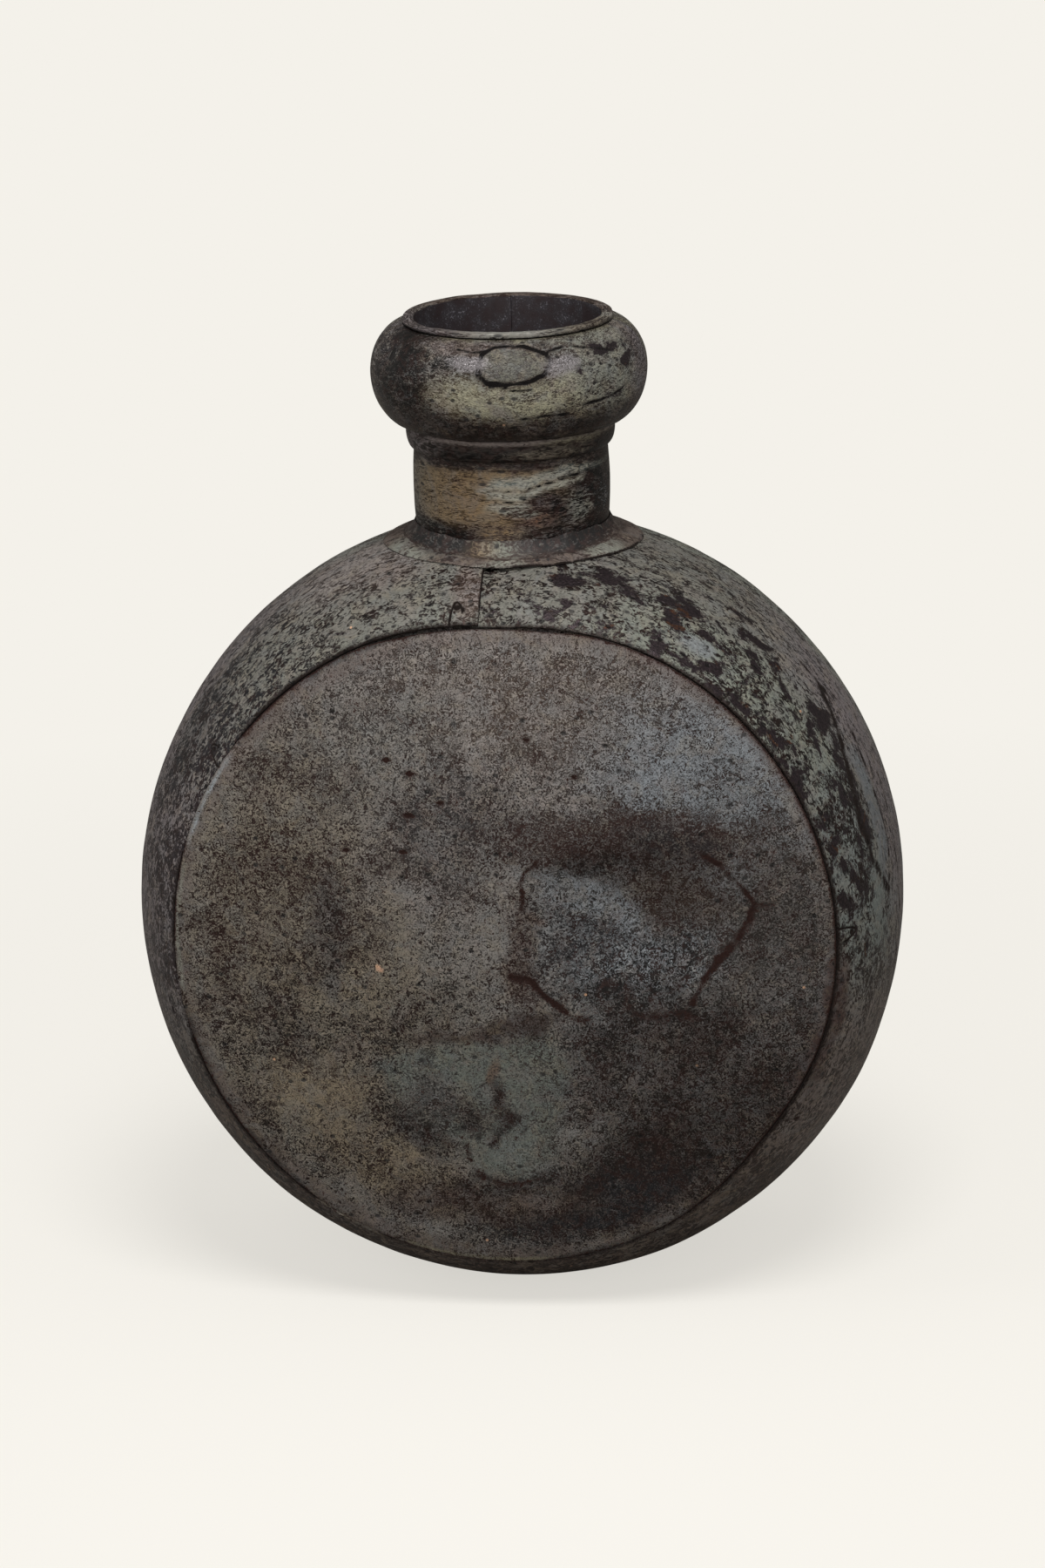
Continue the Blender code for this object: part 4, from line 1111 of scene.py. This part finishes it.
def makeFootFiller():
    around = roundAngles(neck["steps"])
    wave = ripple(roundNeck(around, 0.04, 0.0), 0.008, 3, 78)
    shares = np.linspace(0, 1, 15)
    reach = neck["fillerReach"] * (1 + neck["fillerWave"] * wave)
    rise = neck["fillerRise"] * (1 + neck["fillerWave"] * wave)
    radius = neck["radius"] + neck["fillerClear"] + reach[:, None] * shares[None, :]
    x, y = radius * np.cos(around[:, None]), radius * np.sin(around[:, None])
    bed = saddleTop(x, y)[1] + 0.03 * mm
    top = bed + 0.02 * mm + rise[:, None] * (1 - shares[None, :]) ** 2.4
    loops = np.concatenate([np.stack([x, y, bed], -1), np.stack([x, y, top], -1)[:, ::-1]], 1)
    out = np.concatenate([shares, shares[::-1]]) * (neck["fillerReach"] + 0.6 * neck["fillerRise"]) / mm
    skin = stacked(np.degrees(around)[:, None] * fillerPlan["unit"][0], out[None, :])
    fields = paintPlan(skin, fillerPlan, 79)
    piece = sweptPiece("neckFiller", loops, skin, fields, wornIron("neckBrazeFiller", saddleLook))
    stands(piece, "neck_braze")


makeSaddle()
makeNeck()
makeFootFiller()

# Ring and collar

ring = {"radiusMm": 39, "toe": 0.15, "land": 0.25, "wave": 0.16 * mm}
ringPlan = {                     # turn in degrees, mm above the ring's bottom
    "unit": (math.radians(1) * ring["radiusMm"], 1), "wobble": 0.4,
    "pale": "brownOxide", "dark": "darkOxide", "cover": 0.4,
    "zones": (
        # partly painted shade low in the ring's cove
        spot(180, 1.5, 400, 4, "darkOxide", "soot", 0.3, soft=0.4),
        # painted highlight along the ring's upper edge
        spot(180, 7.8, 400, 0.9, "pinkBrown", "pinkBrown", 0.9, soft=0.4),
        spot(318, 7, 16, 1.4, "olive", "brownOxide", 0.5, share=0.8),
        spot(300, 3, 16, 2, "tanPaint", "darkOxide", 0.4),
        spot(205, 5, 18, 6, "plumGrey", "darkOxide", 0.4),
    ),
}
ringLook = {                     # smooth dark iron, almost bare, with a painted highlight along its upper edge and partly painted shade low in its cove
    "grainMm": 1.4, "stretch": 3, "grainSoft": 0.7, "patchMm": 4, "patchShare": 0.2, "swellShare": 0.1,
    "crumbShare": 0.1, "flakeMm": 6, "pitMm": 3, "pitShare": 0.1, "chipShare": 0.0, "bump": 0.4,
    "lineIron": "soot", "driftShare": 0.05,
}
collar = {
    "mouth": 0.0021, "bulge": 0.0139, "equator": 0.52, "steps": 260, "rows": 76, "innerRows": 14,
    "radiusMm": 50, "flange": 1.8, "widest": 27.0, "flakeDepth": 0.22 * mm, "wave": 0.3 * mm,
    "dents": ((213, 39, 8, 1.3), (300, 14, 10, 0.4), (330, 30, 12, 0.35), (110, 30, 11, 0.8),
              (60, 36, 9, 0.5)),         # turn in degrees, then mm: up the curve, radius and depth
}
flakeOutline = (
    (263.5, 39), (265.5, 43), (270.5, 45), (277, 46), (282, 46.5), (287, 44), (292, 41.5), (293, 39.5),
    (290.5, 36), (285.5, 33.5), (279, 32.5), (274, 32.5), (269, 33), (265, 35.5))
collarPlan = {                   # turn in degrees, mm up the curve from the ring, 52.8 mm in all
    "unit": (math.radians(1) * collar["radiusMm"], 1), "wobble": 2.0,
    "pale": "olive", "dark": "brownOxide", "cover": 0.62,
    "zones": (
        spot(211, 30, 31, 36, "coal", "soot", 0.0, soft=0.55),
        # painted highlight in the dimple on the left, so its hollow shows
        spot(212, 39, 7, 6, "dimGrey", "blueOxide", 0.36, soft=0.6),
        spot(186, 30, 18, 34, "plumGrey", "plumIron", 0.3, soft=0.5),
        spot(252, 38, 12, 10, "greyPaint", "soot", 0.36),
        spot(262, 26, 17, 9, "paleOlive", "rubbedOchre", 0.74),
        spot(280, 24, 26, 9, "paleOlive", "rubbedOchre", 0.88),
        spot(300, 26, 20, 9, "paleOlive", "brownOxide", 0.74),
        spot(325, 34, 18, 16, "flakeGreen", "greyOxide", 0.7, bare=0.25),
        spot(326, 41, 9, 2.4, bare=0.8, soft=0.8), spot(334, 34, 3, 3, bare=0.7),
        spot(300, 46, 40, 5, "flakeGreen", "brownOxide", 0.68),
        spot(260, 46.5, 26, 4, "pinkBrown", "brownOxide", 0.6),
        spot(355, 28, 14, 26, "plumGrey", "plumIron", 0.6),
        spot(278.5, 39, 19, 9.5, "brownOxide", "darkOxide", 0.5, share=0.7, soft=0.3),
        patch(flakeOutline, "flakeGrey", "dimGrey", 0.72, soft=0.7),
        # painted highlights where the lamp reflects on either side of the flake, over worn metal
        spot(259, 39.5, 8.5, 4.2, soft=0.7, wear=0.85),
        spot(301, 37.8, 8.5, 4.2, soft=0.7, wear=0.85),
        spot(180, 8, 400, 10.5, "brownOxide", "darkOxide", 0.4, soft=0.45),
        spot(90, 28, 90, 30, "flakeGreen", "darkOxide", 0.55, bare=0.25),
    ),
    "lines": (
        stroke(0.75, 1.35, (262.5, 39), (264.5, 43.5), (270, 46.5), (277, 47.5), (283, 47.5), (288.5, 45),
               (293.5, 42.5), (295, 39), (291.5, 35), (286, 32.5), (279, 31.5), (273, 31.5), (268, 32),
               (264, 35), (262.5, 39)),
        stroke(1.0, 1.2, (262.5, 38.5), (263.5, 34.5), (268.5, 31.5), (275, 31)),
        stroke(0.8, 0.8, (294, 43.5), (304, 45.4), (317, 43), (327, 40)),
        stroke(0.7, 0.8, (266, 45), (259, 44.4), (252, 45.4)),
        stroke(0.7, 0.9, (308, 21), (322, 22.6), (331, 25)),
        stroke(0.7, 0.8, (282, 17.6), (291, 18.6), (302, 17.6)),
        stroke(0.5, 0.8, (273, 30), (279, 28.4), (285, 29)),
    ),
}
collarLook = {                   # olive paint polished by hands, with dark half shiny iron showing, and painted highlights beside the flake
    "grainMm": 0.9, "stretch": 1.8, "grainSoft": 0.42, "patchMm": 5, "patchStretch": 1.5, "flakeMm": 7,
    "pitMm": 3.4, "pitShare": 0.12, "chipShare": 0.0, "ironRough": 0.36, "ironMetal": 0.7,
    "lineIron": "soot", "lineRag": 0.5, "rubbedHighlightTint": "#878283",
}


def makeRing():
    around = roundAngles(neck["steps"])
    hole = neck["radius"] + hoop["gap"]
    thick, high = neck["ringThickness"], neck["ringHeight"]
    flat = [(hole, ringTop), (hole, ringBottom)]
    for a in np.linspace(0, turn / 4, 9):
        reach = ring["toe"] + (1 - ring["toe"]) * math.sin(a)
        drop = ring["land"] + (1 - ring["land"]) * math.cos(a)
        flat.append((hole + thick * reach, ringTop - high * drop))
    flat += [(hole + thick, ringTop - 0.0011), (hole + thick * 0.99, ringTop - 0.0004),
             (hole + thick * 0.9, ringTop)]
    radius, height = np.array(flat).T[:, None, :]
    wave = ripple(roundNeck(around, 0.04, 0.0), 0.011, 3, 80)[:, None]
    outside = radius > hole + 0.0001
    loops = roundNeck(around[:, None], radius + outside * ring["wave"] * wave, height)
    skin = stacked(around[:, None] * ring["radiusMm"], (height - ringBottom) / mm)
    fields = paintPlan(skin, ringPlan, 81)
    piece = sweptPiece("seatRing", loops, skin, fields, wornIron("forgedRingIron", ringLook))
    stands(piece, "seat_ring")


def makeCollar():
    around = roundAngles(collar["steps"])[:, None]
    equator = collarBottom + neck["collarHeight"] * collar["equator"]
    start = neck["radius"] + collar["mouth"]
    hole = neck["radius"] + hoop["gap"]
    profiles = []
    for thickness, rows in ((0, collar["rows"]), (hoop["sheet"], collar["innerRows"])):
        way = np.linspace(0, turn / 2, rows)
        rise = np.where(way > turn / 4, collarTop, collarBottom) - equator
        rise = rise - np.sign(rise) * thickness
        radius = start + (collar["bulge"] - thickness) * np.sin(way)
        height = equator + np.abs(np.cos(way)) * rise
        ends = (hole, collarBottom + thickness), (hole, collarTop - thickness)
        profiles.append(np.array([ends[0], *zip(radius, height), ends[1]]))
    outer, inner = profiles
    curve = np.concatenate([[0], np.cumsum(np.hypot(*np.diff(outer[1:-1], axis=0).T))]) / mm
    curve = np.concatenate([[-collar["flange"]], curve, [curve[-1] + collar["flange"]]])
    flat = np.concatenate([outer, inner[::-1]])
    isOuter = np.arange(len(flat)) < len(outer)
    up = np.concatenate([curve, np.full(len(inner), collar["widest"])])
    free = isOuter * ease((flat[:, 0] - start - 0.001) / 0.004)
    lift = collar["wave"] * ripple(roundNeck(around, flat[:, 0], flat[:, 1]), 0.022, 3, 85) - 0.1 * mm
    for at, rise, size, depth in collar["dents"]:
        away = apart(around, math.radians(at)) * collar["radiusMm"]
        reach = np.hypot(away, up[None, :] - rise) / size
        lift = lift - depth * mm * np.clip(1 - reach ** 2, 0, 1) ** 1.5
    # the pale flake of thick paint stands a little proud
    skin = stacked(around * collar["radiusMm"], up[None, :])
    flakeAway = outlineDistance(skin, [np.array(p) * collarPlan["unit"] for p in flakeOutline])
    lift = lift + collar["flakeDepth"] * ease(-flakeAway / 0.8)
    normal = np.gradient(flat, axis=0)
    normal = np.stack([normal[:, 1], -normal[:, 0]], -1) / np.linalg.norm(normal, axis=1)[:, None]
    radius, height = (flat[:, k] + free[None, :] * lift * normal[None, :, k] for k in (0, 1))
    fields = paintPlan(skin, collarPlan, 86)
    piece = sweptPiece("collarShell", roundNeck(around, radius, height), skin, fields,
                       wornIron("raisedCollarIron", collarLook))
    stands(piece, "collar_shell")


makeRing()
makeCollar()

# Floor, light and camera

studio = {                       # lamps: azimuth and height in degrees, distance, width, watts
    "paper": "#F4F1EA", "bounce": "#8F8C86", "air": "#F2F1EF", "room": 0.5,
    "lamps": {"keyLamp": (14, 60, 2.0, 0.9, 30.0), "fillLamp": (-4, 14, 2.4, 1.8, 13.0),
              "edgeLamp": (-70, 30, 2.2, 1.0, 5.0)},
}


def viewedFrom(around, rise):
    # direction from the flask to a lamp or the camera; angles in degrees, 0 and 0 is the front
    around, rise = math.radians(around), math.radians(rise)
    return Vector((math.sin(around) * math.cos(rise), -math.cos(around) * math.cos(rise), math.sin(rise)))


def softLamp(name, around, rise, distance, size, power):
    light = bpy.data.lights.new(name, "AREA")
    light.shape, light.size, light.energy = "DISK", size, power
    back = viewedFrom(around, rise)
    lamp = linked(name, light)
    lamp.location = Vector((0, 0, 0.2)) + back * distance
    lamp.rotation_euler = back.to_track_quat("Z", "Y").to_euler()


def makeStudio():
    # plain matt paper, rolled up behind, so the flask stands on a pale even ground with a soft shadow
    outline = [(-3.0, 0.0), (2.2, 0.0)]
    outline += [(2.2 + math.sin(a), 1.0 - math.cos(a)) for a in np.linspace(0, turn / 4, 16)[1:]]
    outline += [(3.2, 4.0)]
    mesh = bpy.data.meshes.new("paperSweep")
    points = [(x, y, z - 0.0002) for y, z in outline for x in (-4, 4)]
    faces = [(2 * k, 2 * k + 1, 2 * k + 3, 2 * k + 2) for k in range(len(outline) - 1)]
    mesh.from_pydata(points, [], faces)
    mesh.shade_smooth()
    paper = linked("paperSweep", mesh)
    material, tree = emptyMaterial("mattPaper")
    maths, ranged, _, mixed, _ = nodeTools(tree)
    pale = linearColour(studio["paper"])
    seen = put(tree, "LightPath")["Is Camera Ray"]
    place = put(tree, "NewGeometry")["Position"]
    away = put(tree, "VectorMath", {0: place}, operation="LENGTH")["Value"]
    share = maths("MULTIPLY", seen, ranged(away, 0.2, 0.8, 0.7))
    matt = put(tree, "BsdfDiffuse", {"Color": mixed(seen, studio["bounce"], pale)})[0]
    glow = put(tree, "Emission", {"Color": pale, "Strength": 1.0})[0]
    put(tree, "OutputMaterial", {"Surface": put(tree, "MixShader", {0: share, 1: matt, 2: glow})[0]})
    mesh.materials.append(material)
    # the room's even light, and beside the paper the same pale page for the camera
    world = bpy.data.worlds.new("paleRoom")
    bpy.context.scene.world = world
    world.use_nodes = True
    sky = world.node_tree
    sky.nodes.clear()
    room = put(sky, "Background", {"Color": linearColour(studio["air"]), "Strength": studio["room"]})[0]
    page = put(sky, "Background", {"Color": pale, "Strength": 1.0})[0]
    seen = put(sky, "LightPath")["Is Camera Ray"]
    put(sky, "OutputWorld", {"Surface": put(sky, "MixShader", {0: seen, 1: room, 2: page})[0]})
    for name, values in studio["lamps"].items():
        softLamp(name, *values)


view = {                         # fitted to the photo
    "distance": 2.199, "rise": 16.294, "around": 6.549, "roll": -1.516, "target": (0, 0, 0.19045),
    "focalPx": 6425.2, "middlePx": (597.24, 911.08), "frame": (1200, 1800),
}


def makeCamera():
    back, roll = viewedFrom(view["around"], view["rise"]), math.radians(view["roll"])
    right = Vector((math.cos(math.radians(view["around"])), math.sin(math.radians(view["around"])), 0))
    up = back.cross(right)
    leanRight = right * math.cos(roll) + up * math.sin(roll)
    leanUp = up * math.cos(roll) - right * math.sin(roll)
    lens = bpy.data.cameras.new("photoCamera")
    wide, tall = view["frame"]
    lens.sensor_fit, lens.sensor_height, lens.sensor_width = "AUTO", 24, 36
    lens.lens = view["focalPx"] / tall * lens.sensor_width
    lens.shift_x = (wide / 2 - view["middlePx"][0]) / tall
    lens.shift_y = (view["middlePx"][1] - tall / 2) / tall
    lens.clip_start, lens.clip_end = 0.1, 50
    camera = linked("photoCamera", lens)
    place = Vector(view["target"]) + back * view["distance"]
    camera.matrix_world = Matrix.Translation(place) @ Matrix((leanRight, leanUp, back)).transposed().to_4x4()
    bpy.context.scene.camera = camera


makeStudio()
makeCamera()
bpy.context.scene.view_settings.view_transform = "Standard"
print("studio ready")
